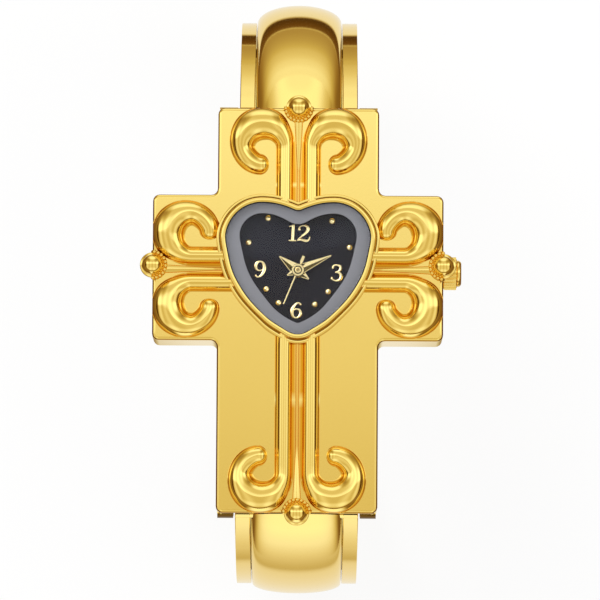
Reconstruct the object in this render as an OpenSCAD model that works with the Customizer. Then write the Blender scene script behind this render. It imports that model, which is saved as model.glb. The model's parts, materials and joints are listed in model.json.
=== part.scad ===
// Bracelet watch: a cross-shaped case with a heart dial, on a bangle of two spring-hinged arms.
// +Z points out of the dial, +Y to 12 o'clock and +X to the crown.
// The origin is the middle of the wrist opening. Millimetres.

/* [Case] */
// Height of the case's face above the middle of the wrist opening
face_z = 27; // [26.5:0.25:28]
// Thickness of the case
case_t = 7.2; // [7.2:0.1:8.4]
// Reach of the upper limb towards 12 o'clock
upper_reach = 18.6; // [18:0.1:20]
// Reach of the lower limb towards 6 o'clock
lower_reach = 25; // [24:0.1:27]
// Width of the upper and lower limbs
limb_w = 17.3; // [17:0.1:18.5]
// Reach of each side arm
side_reach = 15.6; // [15:0.1:18]
// Upper edge of the side arms, from the middle
side_top = 9.2; // [9.1:0.1:11]
// Lower edge of the side arms, from the middle
side_bottom = 6.5; // [6.4:0.1:9]
// Rounding of the face's edges
edge_r = 0.35; // [0.1:0.05:0.6]
// Rounding of the cross's corners, seen from the front
corner_r = 0.7; // [0.65:0.05:1]

/* [Heart] */
// Place of the hands' axis above the middle of the wrist opening
axis_y = 1.15; // [0.9:0.05:1.4]
// Sideways place of the lobes' shoulder centres
lobe_x = 3.83; // [3.7:0.01:3.95]
// Height of the lobes' shoulder centres over the hands' axis
lobe_y = 3.53; // [3.4:0.01:3.65]
// Radius of the lobes' shoulders at the dial opening
lobe_r = 2.42; // [2.35:0.01:2.55]
// Radius of the flatter arc from a lobe's top to the notch
crown_arc_r = 7.77; // [7:0.01:8.5]
// Radius of the hollow of the notch at the dial opening
notch_r = 2.6; // [2.5:0.05:3.2]
// Depth of the heart's tip under the hands' axis
tip_depth = 5.81; // [5.7:0.01:6]
// Radius of the heart's tip
tip_r = 0.4; // [0.3:0.05:0.6]
// Angle below the horizontal where the flanks start
flank_deg = 15; // [13:0.5:17]
// Width from the dial opening to the bezel's outer edge
bezel_w = 2.17; // [2.1:0.01:2.4]
// Height of the bezel's rim over the case's face
bezel_h = 1.75; // [1.65:0.05:2.2]
// Height of the bezel's flange over the case's face
flange_h = 0.85; // [0.7:0.05:1]
// Width of the bezel's flange outside its rim
flange_w = 0.25; // [0.2:0.05:0.4]
// Width of the grey border from the dial opening to the glass's edge
border_w = 1.4; // [1.3:0.05:1.45]
// Thickness of the crystal
crystal_t = 0.8; // [0.7:0.05:0.9]
// Width of the crystal's gasket
gasket_w = 0.1; // [0.08:0.01:0.14]

/* [Scrolls] */
// Distance from a limb's middle line to each tube's middle line
tube_v = 1.43; // [1.35:0.01:1.5]
// Width of the tubes
tube_w = 1.75; // [1.6:0.05:1.85]
// Height of the tubes
tube_h = 0.85; // [0.6:0.05:1.1]
// Greatest width of the curls
swell_w = 2.94; // [2.7:0.02:3]
// Greatest height of the curls
swell_h = 1.35; // [1:0.05:1.6]
// Distance of the curls' eyes from the limb's end
eye_e = 4.2; // [4.1:0.05:4.4]
// Distance of the curls' eyes from the limb's middle line
eye_v = 4.0; // [3.9:0.05:4.1]
// Thickness of the web between the tubes
web_h = 0.15; // [0.1:0.01:0.3]

/* [Bead studs] */
// Diameter of the balls
bead_d = 2.2; // [2:0.1:2.6]
// Diameter of the skirt round each ball
bead_skirt_d = 2.7; // [2.6:0.1:3]
// Height of a ball's middle over the face
bead_rise = 0.5; // [0.3:0.05:0.8]
// Place of the side beads above the hands' axis
side_bead_up = 0.4; // [0:0.05:0.5]
// Depth of a stud's foot below the ball's middle
bead_foot = 0.7; // [0.6:0.05:1]
// Depth of the skirt's edge below the ball's middle
skirt_drop = 0.25; // [0.15:0.05:0.4]

/* [Dial and hands] */
// Thickness of the dial
dial_t = 0.4; // [0.3:0.05:0.5]
// Depth of the dial's underside below the face
dial_depth = 1.8; // [1.7:0.05:1.9]
// Turn of the dial, clockwise in degrees
dial_turn = 2.3; // [0:0.1:4]
// Height of the numerals
numeral_h = 1.8; // [1.5:0.1:2]
// Distance of the numerals' middles from the hands' axis
numeral_ring = 4.0; // [3.8:0.05:4.1]
// Diameter of the dots
dot_d = 0.7; // [0.5:0.05:0.8]
// Length of the hour hand
hour_len = 2.45; // [2:0.05:2.8]
// Length of the hour hand's tail
hour_tail = 1.45; // [1:0.05:1.6]
// Half of the hour hand's width
hour_half_w = 0.6; // [0.4:0.02:0.7]
// Length of the minute hand
minute_len = 3.85; // [3.3:0.05:4]
// Length of the minute hand's tail
minute_tail = 1.25; // [0.9:0.05:1.4]
// Half of the minute hand's width
minute_half_w = 0.52; // [0.36:0.02:0.6]
// Length of the seconds hand
second_len = 4.0; // [3.5:0.05:4.1]
// Length of the seconds hand's tail
second_tail = 1.6; // [1.2:0.05:1.9]
// Thickness of the hands
hand_t = 0.13; // [0.1:0.01:0.16]
// Directions of the hour, minute and seconds hands, clockwise from 12
hand_deg = [307.5, 65.5, 202.4];

/* [Movement] */
// Radius of the quartz movement
move_r = 6.45; // [6.4:0.01:6.55]
// Clearance round the movement holder
holder_gap = 0.04; // [0.02:0.01:0.08]
// Width of the holder ring round the movement
holder_w = 0.4; // [0.3:0.02:0.5]
// Module of the motion works' teeth
motion_m = 0.085; // [0.08:0.001:0.088]
// Module of the seconds wheel and the intermediate pinion
drive_m = 0.104; // [0.1:0.001:0.106]
// Module of the rotor pinion and the intermediate wheel
rotor_m = 0.085; // [0.08:0.001:0.087]
// Module of the centre wheel and the third pinion
centre_m = 0.07; // [0.068:0.001:0.072]
// Radius of the pivots
pivot_r = 0.12; // [0.1:0.01:0.14]
// Running clearance round pivots and tubes
run_gap = 0.03; // [0.02:0.005:0.05]
// Diameter of the battery
battery_d = 4.8; // [4.6:0.1:5]
// Thickness of the battery
battery_t = 1.65; // [1.5:0.05:1.7]

/* [Crown] */
// Diameter of the fluted crown
crown_d = 3.54; // [3.3:0.02:4]
// Length of the crown outside the case
crown_len = 1.95; // [1.8:0.05:2.3]
// Diameter of the crown's end boss
boss_d = 2.86; // [2.4:0.02:3]
// Length of the crown's end boss
boss_len = 0.48; // [0.3:0.02:0.6]
// Travel of the crown when it is pulled
crown_pull = 0.9; // [0.6:0.05:1]
// Depth of the stem's axis below the face
stem_depth = 3.6; // [3.5:0.05:3.7]
// Diameter of the stem
stem_d = 0.8; // [0.7:0.02:0.84]

/* [Bangle] */
// Reach of the bangle's rails, on both sides of the middle
band_reach = 31.2; // [30.8:0.1:32.5]
// Width of the upper arm
upper_band_w = 12.7; // [12:0.1:13.2]
// Width of the lower arm
lower_band_w = 13.2; // [12.4:0.1:13.4]
// Height of the upper dome over its rails
upper_rise = 1.96; // [1.2:0.02:2]
// Height of the lower dome over its rails
lower_rise = 1.1; // [0.8:0.02:1.6]
// Width of each flat side rail
rail_w = 1.6; // [1.3:0.05:1.9]
// Thickness of the rails
rail_t = 2.1; // [1.9:0.05:2.3]
// Thickness of the floor between the rails
floor_t = 0.6; // [0.4:0.05:0.8]
// Thickness of the dome's sheet
dome_t = 0.5; // [0.3:0.05:0.7]
// Gap between the dome and each rail
dome_gap = 0.12; // [0.08:0.01:0.2]
// Radius of the arms behind the wrist
back_r = 26.2; // [25.6:0.1:27]
// Angle that the arms reach below the wrist's middle
tip_deg = 74.5; // [72:0.5:76]
// Angle at which the domes end
dome_deg = 58; // [50:1:60]
// Height cut off the tips, so that the watch stands
foot_cut = 0.35; // [0.2:0.05:0.6]

/* [Hinges] */
// Radius of the hinge knuckles
knuckle_r = 1.2; // [1.1:0.05:1.3]
// Radius of the hinge pins
pin_r = 0.5; // [0.4:0.02:0.6]
// Depth of the hinge axes below the face
hinge_depth = 3.0; // [2.9:0.05:3.2]
// Depth of the hinge axes behind the limbs' ends
hinge_inset = 0.8; // [0.7:0.05:0.9]
// Radius of the springs' wire
wire_r = 0.13; // [0.1:0.01:0.15]
// Turns of each torsion spring
spring_turns = 8; // [6:1:9]

/* [Hidden] */
$fn = 48;

gold = [0.86, 0.66, 0.28];
steel = [0.72, 0.73, 0.75];
grey = [0.62, 0.63, 0.64];
ink = [0.05, 0.05, 0.06];
seal = [0.12, 0.12, 0.13];
clear = [0.8, 0.88, 0.9, 0.35];
board = [0.1, 0.35, 0.2];
copper = [0.72, 0.42, 0.25];

nudge = 0.01;
touch = 0.005;
far = 60;

// Heights of the case and the parts on its face
back_z = face_z - case_t;
ledge_z = face_z + 0.45;
glass_z = ledge_z + 0.25;
glass_top = glass_z + crystal_t;
seat_w = border_w + 0.05;
seat_gap = 0.01;
aperture_w = 0.75;
dial_edge = aperture_w - 0.05;

// Heights of the movement, dial side up
dial_z = face_z - dial_depth;
dial_top = dial_z + dial_t;
works_z = dial_z - 1.0;
plate_z = dial_z - 1.8;
centre_z = plate_z - 0.3;
upper_train_z = plate_z - 0.65;
lower_train_z = plate_z - 0.95;
bridge_z = plate_z - 1.4;
bridge_t = 0.3;
stator_t = 0.28;
battery_z = plate_z - 1.05 - battery_t;
board_z = battery_z;
board_t = 0.2;
strap_t = 0.13;
head_t = 0.14;
lowest_z = board_z - strap_t - head_t;
holder_z = lowest_z - 0.03;
hand_z = [dial_top + 0.35, dial_top + 0.75, dial_top + 1.15];

// Radii round the hands' axis
arbor_r = pivot_r;
cannon_in = arbor_r + run_gap;
cannon_out = cannon_in + 0.15;
hour_in = cannon_out + run_gap;
hour_out = hour_in + 0.22;
pocket_r = move_r + holder_gap + holder_w + holder_gap;

// Tooth counts and centre distances of the train
seconds_pinion_n = 8;
third_wheel_n = 64;
third_pinion_n = 8;
centre_wheel_n = 60;
seconds_wheel_n = 40;
intermediate_pinion_n = 8;
intermediate_wheel_n = 48;
rotor_pinion_n = 8;
cannon_pinion_n = 12;
minute_wheel_n = 36;
minute_pinion_n = 10;
hour_wheel_n = 40;
third_dist = centre_m * (centre_wheel_n + third_pinion_n) / 2;
third_m = 2 * third_dist / (third_wheel_n + seconds_pinion_n);
drive_dist = drive_m * (seconds_wheel_n + intermediate_pinion_n) / 2;
rotor_dist = rotor_m * (intermediate_wheel_n + rotor_pinion_n) / 2;
minute_dist = motion_m * (cannon_pinion_n + minute_wheel_n) / 2;
hour_m = 2 * minute_dist / (minute_pinion_n + hour_wheel_n);

// Places in the movement, from the hands' axis
third_deg = 90;
drive_deg = -60;
rotor_deg = -15;
minute_deg = 180;
third_at = third_dist * [cos(third_deg), sin(third_deg)];
drive_at = drive_dist * [cos(drive_deg), sin(drive_deg)];
rotor_at = drive_at + rotor_dist * [cos(rotor_deg), sin(rotor_deg)];
minute_at = minute_dist * [cos(minute_deg), sin(minute_deg)];
magnet_r = 0.6;
rotor_hole_r = 0.8;
coil_x = 4.6;
coil_y = 0.3;
coil_r = 0.7;
coil_len = 4.2;
can_at = [-0.2, -4.9];
can_r = 0.5;
can_len = 3;
battery_at = [-3.15, -1.75];
post_at = [[-3.9, 3.4], [3.3, 4.2], [-0.9, -4.0]];
post_r = 0.5;
thread_r = 0.25;

// Stem and crown
stem_z = face_z - stem_depth;
stem_r = stem_d / 2;
stem_tip = 3.6;
crown_gap = 0.05;
seal_x = 0.3;
seal_t = 0.3;
stem_stop = crown_len - 0.4;
flutes = 24;
flute_points = 4;
flute_r = 0.06;
crown_x = side_reach + crown_gap;
tube_out = 1.05;
tube_in = stem_r + 0.1;
tube_end = crown_x + 0.95;
tube_start = side_reach - 2.6;
lever_x = 5.5;
lever_w = 0.5;
neck = 0.55;
cavity_r = tube_out + 0.16;

// Back of the case
plate_w = [15.4, 14.4];
plate_y = (side_top - side_bottom) / 2;
plate_proud = 0.4;
plate_sink = lowest_z - 0.05 - back_z;
screw_at = [6.7, 6.2];
screw_r = 0.35;
screw_head_r = 0.7;
screw_len = 1.5;
groove_r = pocket_r + 0.3;
groove_w = 0.5;
groove_t = 0.35;

// Hinges, from the wrist opening's middle, on the side that each arm leaves
hinge_z = face_z - hinge_depth;
upper_hinge_y = upper_reach - hinge_inset;
lower_hinge_y = lower_reach - hinge_inset;
ear_gap = 0.2;
pin_gap = 0.03;
relief_r = knuckle_r + 0.3;
spring_half = 1.8;
coil_mean_r = pin_r + 0.06 + wire_r;
pin_half = limb_w / 2 - 0.15;

function arc(c, r, a0, a1, n, skip = 0) =
    [for (i = [skip:n]) let (a = a0 + (a1 - a0) * i / n) c + r * [cos(a), sin(a)]];
function flip_x(p) = [-p[0], p[1]];

// The heart: a tip arc, a flank, a lobe's shoulder, a flatter arc and the notch's hollow, each moved out by d
shoulder = [lobe_x, lobe_y];
tip_c = [0, tip_r - tip_depth];
flank_dir = [cos(flank_deg), -sin(flank_deg)];
span = shoulder - tip_c;
flank_r = (span * span + lobe_r ^ 2 - tip_r ^ 2 + 2 * lobe_r * (span * flank_dir))
    / (2 * (span * flank_dir) + 2 * lobe_r - 2 * tip_r);
flank_c = shoulder - (flank_r - lobe_r) * flank_dir;
tip_deg_out = atan2(tip_c[1] - flank_c[1], tip_c[0] - flank_c[0]);
crown_c = [lobe_x, lobe_y + lobe_r - crown_arc_r];
notch_c = [0, crown_c[1] + sqrt((crown_arc_r + notch_r) ^ 2 - lobe_x ^ 2)];
notch_half = asin(lobe_x / (crown_arc_r + notch_r));
function half_heart(d) = concat(
    arc(tip_c, tip_r + d, -90, tip_deg_out, 3),
    arc(flank_c, flank_r + d, tip_deg_out, -flank_deg, 7, 1),
    arc(shoulder, lobe_r + d, -flank_deg, 90, 7, 1),
    arc(crown_c, crown_arc_r + d, 90, 90 + notch_half, 4, 1),
    arc(notch_c, notch_r - d, notch_half - 90, -90, 2, 1)
);
function heart(d) = let (h = half_heart(d), n = len(h))
    concat(h, [for (i = [n - 2:-1:1]) flip_x(h[i])]);

// The cross: round convex and concave corners, all moved inwards by d
function cross_corners(d) = let (
        w = limb_w / 2, s = side_reach, r = corner_r, u = upper_reach, l = -lower_reach,
        t = side_top, b = -side_bottom
    ) concat(
        arc([s - r, b + r], r - d, -90, 0, 4), arc([s - r, t - r], r - d, 0, 90, 4),
        arc([w + r, t + r], r + d, 270, 180, 4), arc([w - r, u - r], r - d, 0, 90, 4),
        arc([r - w, u - r], r - d, 90, 180, 4), arc([-w - r, t + r], r + d, 0, -90, 4),
        arc([r - s, t - r], r - d, 90, 180, 4), arc([r - s, b + r], r - d, 180, 270, 4),
        arc([-w - r, b - r], r + d, 90, 0, 4), arc([r - w, l + r], r - d, 180, 270, 4),
        arc([w - r, l + r], r - d, 270, 360, 4), arc([w + r, b - r], r + d, 180, 90, 4)
    );

function middle(points) = [for (p = points) 1] * points / len(points);

// A solid between rings that have as many points each. Its ends are joined to each other, closed by a fan
// round the ring's middle, or, on a ring that runs out along one side and back along the other, by a strip.
module loft(rings, ends = "fan") {
    n = len(rings[0]);
    m = len(rings);
    last = ends == "joined" ? m - 1 : m - 2;
    sides = [for (j = [0:last], i = [0:n - 1]) let (
            k = (j + 1) % m, p = (i + 1) % n,
            a = j * n + i, b = j * n + p, c = k * n + p, e = k * n + i
        ) each [[a, c, b], [a, e, c]]];
    top = (m - 1) * n;
    fans = [for (i = [0:n - 1]) let (p = (i + 1) % n)
        each [[i, p, m * n], [top + p, top + i, m * n + 1]]];
    strips = [for (i = [0:n / 2 - 2]) let (p = i + 1, q = n - 2 - i, r = n - 1 - i)
        each [[i, p, q], [i, q, r], [top + p, top + i, top + q], [top + q, top + i, top + r]]];
    middles = ends == "fan" ? [middle(rings[0]), middle(rings[m - 1])] : [];
    caps = ends == "fan" ? fans : ends == "strip" ? strips : [];
    polyhedron(points = concat([for (ring = rings) each ring], middles), faces = concat(sides, caps),
        convexity = 8);
}

function at_height(points, z) = [for (p = points) [p[0], p[1], z]];

// A ring round the heart, from a closed profile of [distance from the dial opening, height]
module heart_ring(profile) {
    loft([for (q = profile) at_height(heart(q[0]), q[1])], ends = "joined");
}

module heart_plate(d, z0, z1) {
    translate([0, 0, z0]) linear_extrude(z1 - z0) polygon(heart(d));
}

module on_axis(z = 0) translate([0, axis_y, z]) children();
module at(p, z = 0) translate([p[0], p[1], z]) children();
module along_x(x0, x1, r) translate([x0, 0, 0]) rotate([0, 90, 0]) cylinder(h = x1 - x0, r = r);
module ring(r_in, r_out, h) difference() {
    cylinder(h = h, r = r_out);
    translate([0, 0, -nudge]) cylinder(h = h + 2 * nudge, r = r_in);
}

// Case

module pocket_outline(grow) {
    half = (plate_w + 2 * [grow, grow]) / 2;
    r = 1.5;
    translate([0, plate_y]) {
        square([2 * half[0], 2 * (half[1] - r)], center = true);
        square([2 * (half[0] - r), 2 * half[1]], center = true);
        for (x = [-1, 1], y = [-1, 1]) translate([x * (half[0] - r), y * (half[1] - r)]) circle(r);
    }
}

module at_screws(z) for (x = [-1, 1], y = [-1, 1])
    translate([x * screw_at[0], plate_y + y * screw_at[1], z]) children();

module at_beads() {
    side_y = axis_y + side_bead_up;
    for (p = [[0, upper_reach], [0, -lower_reach], [-side_reach, side_y], [side_reach, side_y]])
        at(p, face_z) children();
}

module hinge_relief(band_w) {
    half = band_w / 2 + ear_gap;
    along_x(-half, half, relief_r);
    translate([-half, -relief_r, -far]) cube([2 * half, far, far]);
}

module case_slab() {
    side = [for (a = [0:15:90]) [edge_r * (1 - cos(a)), face_z - edge_r * (1 - sin(a))]];
    levels = concat([[edge_r / 2, back_z], [0, back_z + edge_r / 2]], side);
    loft([for (q = levels) at_height(cross_corners(q[0]), q[1])]);
}

module case_body() color(gold) difference() {
    union() {
        case_slab();
        for (side = [[upper_hinge_y, upper_band_w], [-lower_hinge_y, lower_band_w]])
            for (x = [-1, 1]) translate([0, side[0], hinge_z])
                along_x(min(x * pin_half, x * (side[1] / 2 + ear_gap)),
                    max(x * pin_half, x * (side[1] / 2 + ear_gap)), knuckle_r);
    }
    on_axis(back_z - nudge) cylinder(h = dial_z - back_z + nudge, r = pocket_r);
    on_axis() heart_plate(aperture_w, dial_z, face_z + nudge);
    translate([0, 0, back_z - nudge]) linear_extrude(plate_sink + 2 * nudge) pocket_outline(0.1);
    on_axis(back_z) ring(groove_r, groove_r + groove_w, plate_sink + groove_t);
    at_screws(back_z) cylinder(h = plate_sink + screw_len, r = screw_r);
    translate([0, axis_y, stem_z]) {
        along_x(0, far, tube_in + 0.1);
        along_x(tube_start, far, tube_out);
    }
    translate([0, upper_hinge_y, hinge_z]) hinge_relief(upper_band_w);
    translate([0, -lower_hinge_y, hinge_z]) mirror([0, 1, 0]) hinge_relief(lower_band_w);
    for (y = [upper_hinge_y, -lower_hinge_y]) translate([0, y, hinge_z])
        along_x(-pin_half - nudge, pin_half + nudge, pin_r + touch);
    at_beads() translate([0, 0, bead_rise - bead_foot]) cylinder(h = 3, d = bead_skirt_d + 2 * touch);
}

module bead_studs() color(gold) at_beads() rotate_extrude() {
    r = bead_d / 2;
    polygon(concat(
        [[0, bead_rise - bead_foot], [bead_skirt_d / 2, bead_rise - bead_foot]],
        [[bead_skirt_d / 2, bead_rise - skirt_drop]],
        arc([0, bead_rise], r, 0, 90, 9)
    ));
}

module heart_bezel() color(gold) on_axis() {
    wall = seat_w + gasket_w + seat_gap;
    foot = aperture_w + 0.2;
    rim = face_z + bezel_h;
    flange = face_z + flange_h;
    step = bezel_w - flange_w;
    flange_r = 0.3;
    rim_r = 0.15;
    heart_ring(concat(
        [[foot, face_z], [bezel_w, face_z]],
        arc([bezel_w - flange_r, flange - flange_r], flange_r, 0, 60, 2),
        [[step, flange + 0.05]],
        arc([step - rim_r, rim - rim_r], rim_r, 0, 90, 2),
        [[wall, rim - 0.05], [wall, ledge_z], [foot, ledge_z]]
    ));
}

module crystal() color(clear) on_axis() heart_plate(seat_w, glass_z, glass_top);

module crystal_gasket() color(seal) on_axis(glass_z) linear_extrude(crystal_t - 0.1) difference() {
    polygon(heart(seat_w + gasket_w));
    polygon(heart(seat_w + touch));
}

module dial_ring() color(grey) on_axis(ledge_z) linear_extrude(glass_z - ledge_z) difference() {
    polygon(heart(border_w));
    polygon(heart(0));
}

module case_back() color(steel) difference() {
    translate([0, 0, back_z - plate_proud]) linear_extrude(plate_proud + plate_sink) pocket_outline(0);
    at_screws(back_z - plate_proud - nudge) {
        cylinder(h = plate_proud + plate_sink + 2 * nudge, r = screw_r + 0.05);
        cylinder(h = 0.4, r = screw_head_r + 0.05);
    }
}

module back_gasket() color(seal) on_axis(back_z + plate_sink) difference() {
    ring(groove_r + 0.03, groove_r + groove_w - 0.03, groove_t - 0.02);
    at_screws(-plate_sink) cylinder(h = far, r = nudge);
}

module back_screws() color(steel) at_screws(back_z - plate_proud + 0.02) {
    difference() {
        cylinder(h = 0.37 - nudge, r = screw_head_r);
        translate([-far, -0.1, -nudge]) cube([2 * far, 0.2, 0.18]);
    }
    cylinder(h = plate_proud + plate_sink + screw_len - 0.2, r = screw_r - touch);
}

module case_tube() color(gold) translate([0, axis_y, stem_z]) difference() {
    along_x(tube_start, tube_end, tube_out - touch);
    along_x(tube_start - nudge, tube_end + nudge, tube_in);
}

module hinge_pins() color(steel) for (y = [upper_hinge_y, -lower_hinge_y])
    translate([0, y, hinge_z]) along_x(-pin_half, pin_half, pin_r);

// Scrolls. A limb's frame has x across the limb and y from the limb's end inwards.

// Angle round the curl's eye, then the centreline's radius, the swell in width and the swell in height as shares
curl = [
    [0, 1, 0, 0], [30, 1.03, 0.13, 0.2], [60, 1.1, 0.88, 0.85], [90, 1.08, 1, 1], [120, 1.05, 0.76, 0.85],
    [150, 0.96, 0.34, 0.5], [180, 0.85, 0, 0.1], [225, 0.7, -0.23, -0.2], [265, 0.76, -0.55, -0.6]
];
function curl_at(a, k) = lookup(a, [for (q = curl) [q[0], q[k]]]);
curl_steps = 24;
curl_end = 265;

// One ring of a tube: a flat foot and a round top, across the direction n
function tube_ring(c, n, w, h) = [for (a = [0:30:180])
    [c[0] + n[0] * w / 2 * cos(a), c[1] + n[1] * w / 2 * cos(a), h * sin(a)]];

module scroll(len_in) {
    r0 = eye_v - tube_v;
    straight = [tube_ring([tube_v, len_in], [1, 0], tube_w, tube_h)];
    bend = [for (i = [0:curl_steps]) let (
            a = curl_end * i / curl_steps, r = r0 * curl_at(a, 1), n = [cos(a), sin(a)],
            w = tube_w + (swell_w - tube_w) * curl_at(a, 2), h = tube_h + (swell_h - tube_h) * curl_at(a, 3)
        ) tube_ring([eye_v - r * n[0], eye_e - r * n[1]], n, w, h)];
    // The round end of the curl
    a = curl_end;
    r = r0 * curl_at(a, 1);
    n = [cos(a), sin(a)];
    t = [sin(a), -cos(a)];
    w = tube_w + (swell_w - tube_w) * curl_at(a, 2);
    h = tube_h + (swell_h - tube_h) * curl_at(a, 3);
    tip = [for (b = [30, 60, 80]) tube_ring([eye_v - r * n[0] + t[0] * w / 2 * sin(b),
        eye_e - r * n[1] + t[1] * w / 2 * sin(b)], n, w * cos(b), h * cos(b))];
    loft(concat(straight, bend, tip));
}

module scroll_pair(len_in) {
    for (x = [0, 1]) mirror([x, 0, 0]) scroll(len_in);
    linear_extrude(web_h) polygon([[-tube_v, len_in], [tube_v, len_in], [tube_v, eye_e], [-tube_v, eye_e]]);
}

module limb_scrolls(place, turn, len_in) color(gold) difference() {
    translate([place[0], place[1], face_z]) rotate(turn) scroll_pair(len_in);
    on_axis() heart_plate(bezel_w + touch, face_z - 1, face_z + 3);
}

module upper_scrolls() limb_scrolls([0, upper_reach], 180, upper_reach - axis_y - lobe_y - lobe_r);
module lower_scrolls() limb_scrolls([0, -lower_reach], 0, lower_reach + axis_y - tip_depth);
module left_scrolls() limb_scrolls([-side_reach, axis_y], -90, side_reach - lobe_x - lobe_r);
module right_scrolls() limb_scrolls([side_reach, axis_y], 90, side_reach - lobe_x - lobe_r);

// Dial and hands

module dial() color(ink) on_axis(dial_z) linear_extrude(dial_t) difference() {
    polygon(heart(dial_edge));
    circle(hour_out + 0.13);
}

function dial_point(r, clock_deg) = r * [sin(clock_deg + dial_turn), cos(clock_deg + dial_turn)];

stroke = 0.17;
module bar(p, q) {
    d = q - p;
    translate(p) rotate(atan2(d[1], d[0])) translate([0, -stroke / 2]) square([norm(d), stroke]);
}
module hoop(c, r) translate(c) difference() {
    circle(r + stroke / 2);
    circle(r - stroke / 2);
}
// Digits in a box one unit wide and two units high, about its middle, times half the height
module digit(n) {
    k = numeral_h / 2;
    r = k * 0.44;
    if (n == 1) {
        bar([0, -k], [0, k]);
        bar([0, k - stroke / 2], [-0.35 * k, 0.6 * k]);
    }
    if (n == 2) {
        difference() {
            hoop([0, k - r - stroke / 2], r);
            translate([-far, -far]) square([far, far + k - r - stroke / 2]);
        }
        bar([0.85 * r, 0.25 * k], [-r, -k + stroke / 2]);
        bar([-r - stroke / 2, -k + stroke / 2], [r + stroke / 2, -k + stroke / 2]);
    }
    if (n == 3) for (s = [-1, 1]) difference() {
        hoop([0, s * (k - r - stroke / 2)], r);
        translate([-far, min(0, s * (k - r))]) square([far - 0.05, abs(k - r)]);
    }
    if (n == 6) {
        hoop([0, -k + r + stroke / 2], r);
        bar([-r * 0.85, -0.35 * k], [0.35 * k, k]);
    }
}
module numeral(clock_deg) at(dial_point(numeral_ring, clock_deg)) rotate(-dial_turn) children();

module dial_numerals() color(gold) on_axis(dial_top) linear_extrude(0.12) {
    numeral(0) translate([-0.45, 0]) digit(1);
    numeral(0) translate([0.45, 0]) digit(2);
    numeral(90) digit(3);
    numeral(180) digit(6);
    numeral(270) rotate(180) digit(6);
}

// Distance and clock direction of each dot
dots = [[6.4, 32], [6.4, -32], [6.0, 62.3], [6.0, -62.3], [3.85, 122.3], [3.85, -122.3], [4.0, 151.5], [4.0, -151.5]];
module dial_dots() color(gold) on_axis(dial_top) for (q = dots) at(dial_point(q[0], q[1]))
    intersection() {
        translate([0, 0, -dot_d / 4]) sphere(d = dot_d * 1.12);
        cylinder(h = dot_d, r = dot_d);
    }

// A hand k with a hub, widest beside the hub and running to a narrow end both ways
module hand_blank(k, len, half_w, tail, hub_r) rotate(-hand_deg[k]) translate([0, 0, hand_z[k]]) {
    linear_extrude(hand_t) polygon([[0.03, len], [half_w, 0.5 * hub_r], [half_w, 0], [0.03, -tail],
        [-0.03, -tail], [-half_w, 0], [-half_w, 0.5 * hub_r], [-0.03, len]]);
    cylinder(h = hand_t, r = hub_r);
}

module hour_hand() color(gold) on_axis() difference() {
    hand_blank(0, hour_len, hour_half_w, hour_tail, 0.85);
    translate([0, 0, dial_top]) cylinder(h = 2, r = hour_out);
}
module minute_hand() color(gold) on_axis() difference() {
    hand_blank(1, minute_len, minute_half_w, minute_tail, 0.72);
    translate([0, 0, dial_top]) cylinder(h = 2, r = cannon_out);
}
module second_hand() color(gold) on_axis() difference() {
    union() {
        hand_blank(2, second_len, 0.1, second_tail, 0.6);
        rotate(-hand_deg[2]) translate([-0.17, -second_tail, hand_z[2]]) cube([0.34, 0.7, hand_t]);
        translate([0, 0, hand_z[2]]) cylinder(h = hand_t + 0.1, r = 0.55);
    }
    translate([0, 0, dial_top]) cylinder(h = hand_z[2] + hand_t - dial_top, r = arbor_r);
}

// Movement

module movement_holder() color(seal) on_axis() difference() {
    translate([0, 0, holder_z]) ring(move_r + holder_gap, pocket_r - holder_gap, dial_z - holder_z);
    translate([0, 0, stem_z]) along_x(0, far, tube_in + 0.15);
}

module main_plate() color(steel) on_axis() difference() {
    translate([0, 0, plate_z]) cylinder(h = dial_z - plate_z, r = move_r);
    translate([0, 0, works_z]) cylinder(h = 2, r = move_r - 0.5);
    translate([0, 0, plate_z - nudge]) {
        cylinder(h = 2, r = cannon_out + run_gap);
        for (p = [third_at, drive_at, rotor_at]) at(p) cylinder(h = 0.4, r = pivot_r + run_gap);
        for (p = post_at) at(p) cylinder(h = 0.6, r = thread_r);
    }
    translate([0, 0, stem_z]) along_x(stem_tip - 0.3, far, stem_r + 0.1);
    at(minute_at, plate_z - nudge) cylinder(h = 2, r = pivot_r + run_gap);
}

module train_bridge() color(steel) on_axis(bridge_z) difference() {
    union() {
        cylinder(h = bridge_t, r = 0.8);
        for (p = [third_at, drive_at, rotor_at]) at(p) cylinder(h = bridge_t, r = 0.6);
        for (s = [[[0, 0], third_at], [[0, 0], drive_at], [drive_at, rotor_at], [third_at, post_at[1]],
            [drive_at, post_at[2]]]) hull() for (p = s) at(p) cylinder(h = bridge_t, r = 0.45, $fn = 32);
        for (p = [post_at[1], post_at[2]]) at(p) cylinder(h = plate_z - bridge_z, r = post_r);
    }
    for (p = [[0, 0], third_at, drive_at, rotor_at]) at(p, bridge_t - 0.2) cylinder(h = 1, r = pivot_r + run_gap);
    for (p = [post_at[1], post_at[2]]) at(p, -nudge) cylinder(h = 3, r = thread_r);
    at(battery_at, -nudge) cylinder(h = 3, r = battery_d / 2 + 0.1);
}

module circuit_board() color(board) on_axis(board_z) difference() {
    cylinder(h = board_t, r = move_r - 0.1);
    at(battery_at, -nudge) cylinder(h = 1, r = battery_d / 2 + 0.15);
    for (p = post_at) at(p, -nudge) cylinder(h = 1, r = thread_r);
}

module coil() color(copper) on_axis() translate([coil_x, coil_y - coil_len / 2, board_z + board_t + coil_r]) {
    rotate([-90, 0, 0]) {
        cylinder(h = coil_len, r = coil_r - 0.08);
        for (y = [0, coil_len - 0.2]) translate([0, 0, y]) cylinder(h = 0.2, r = coil_r);
    }
}

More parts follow.
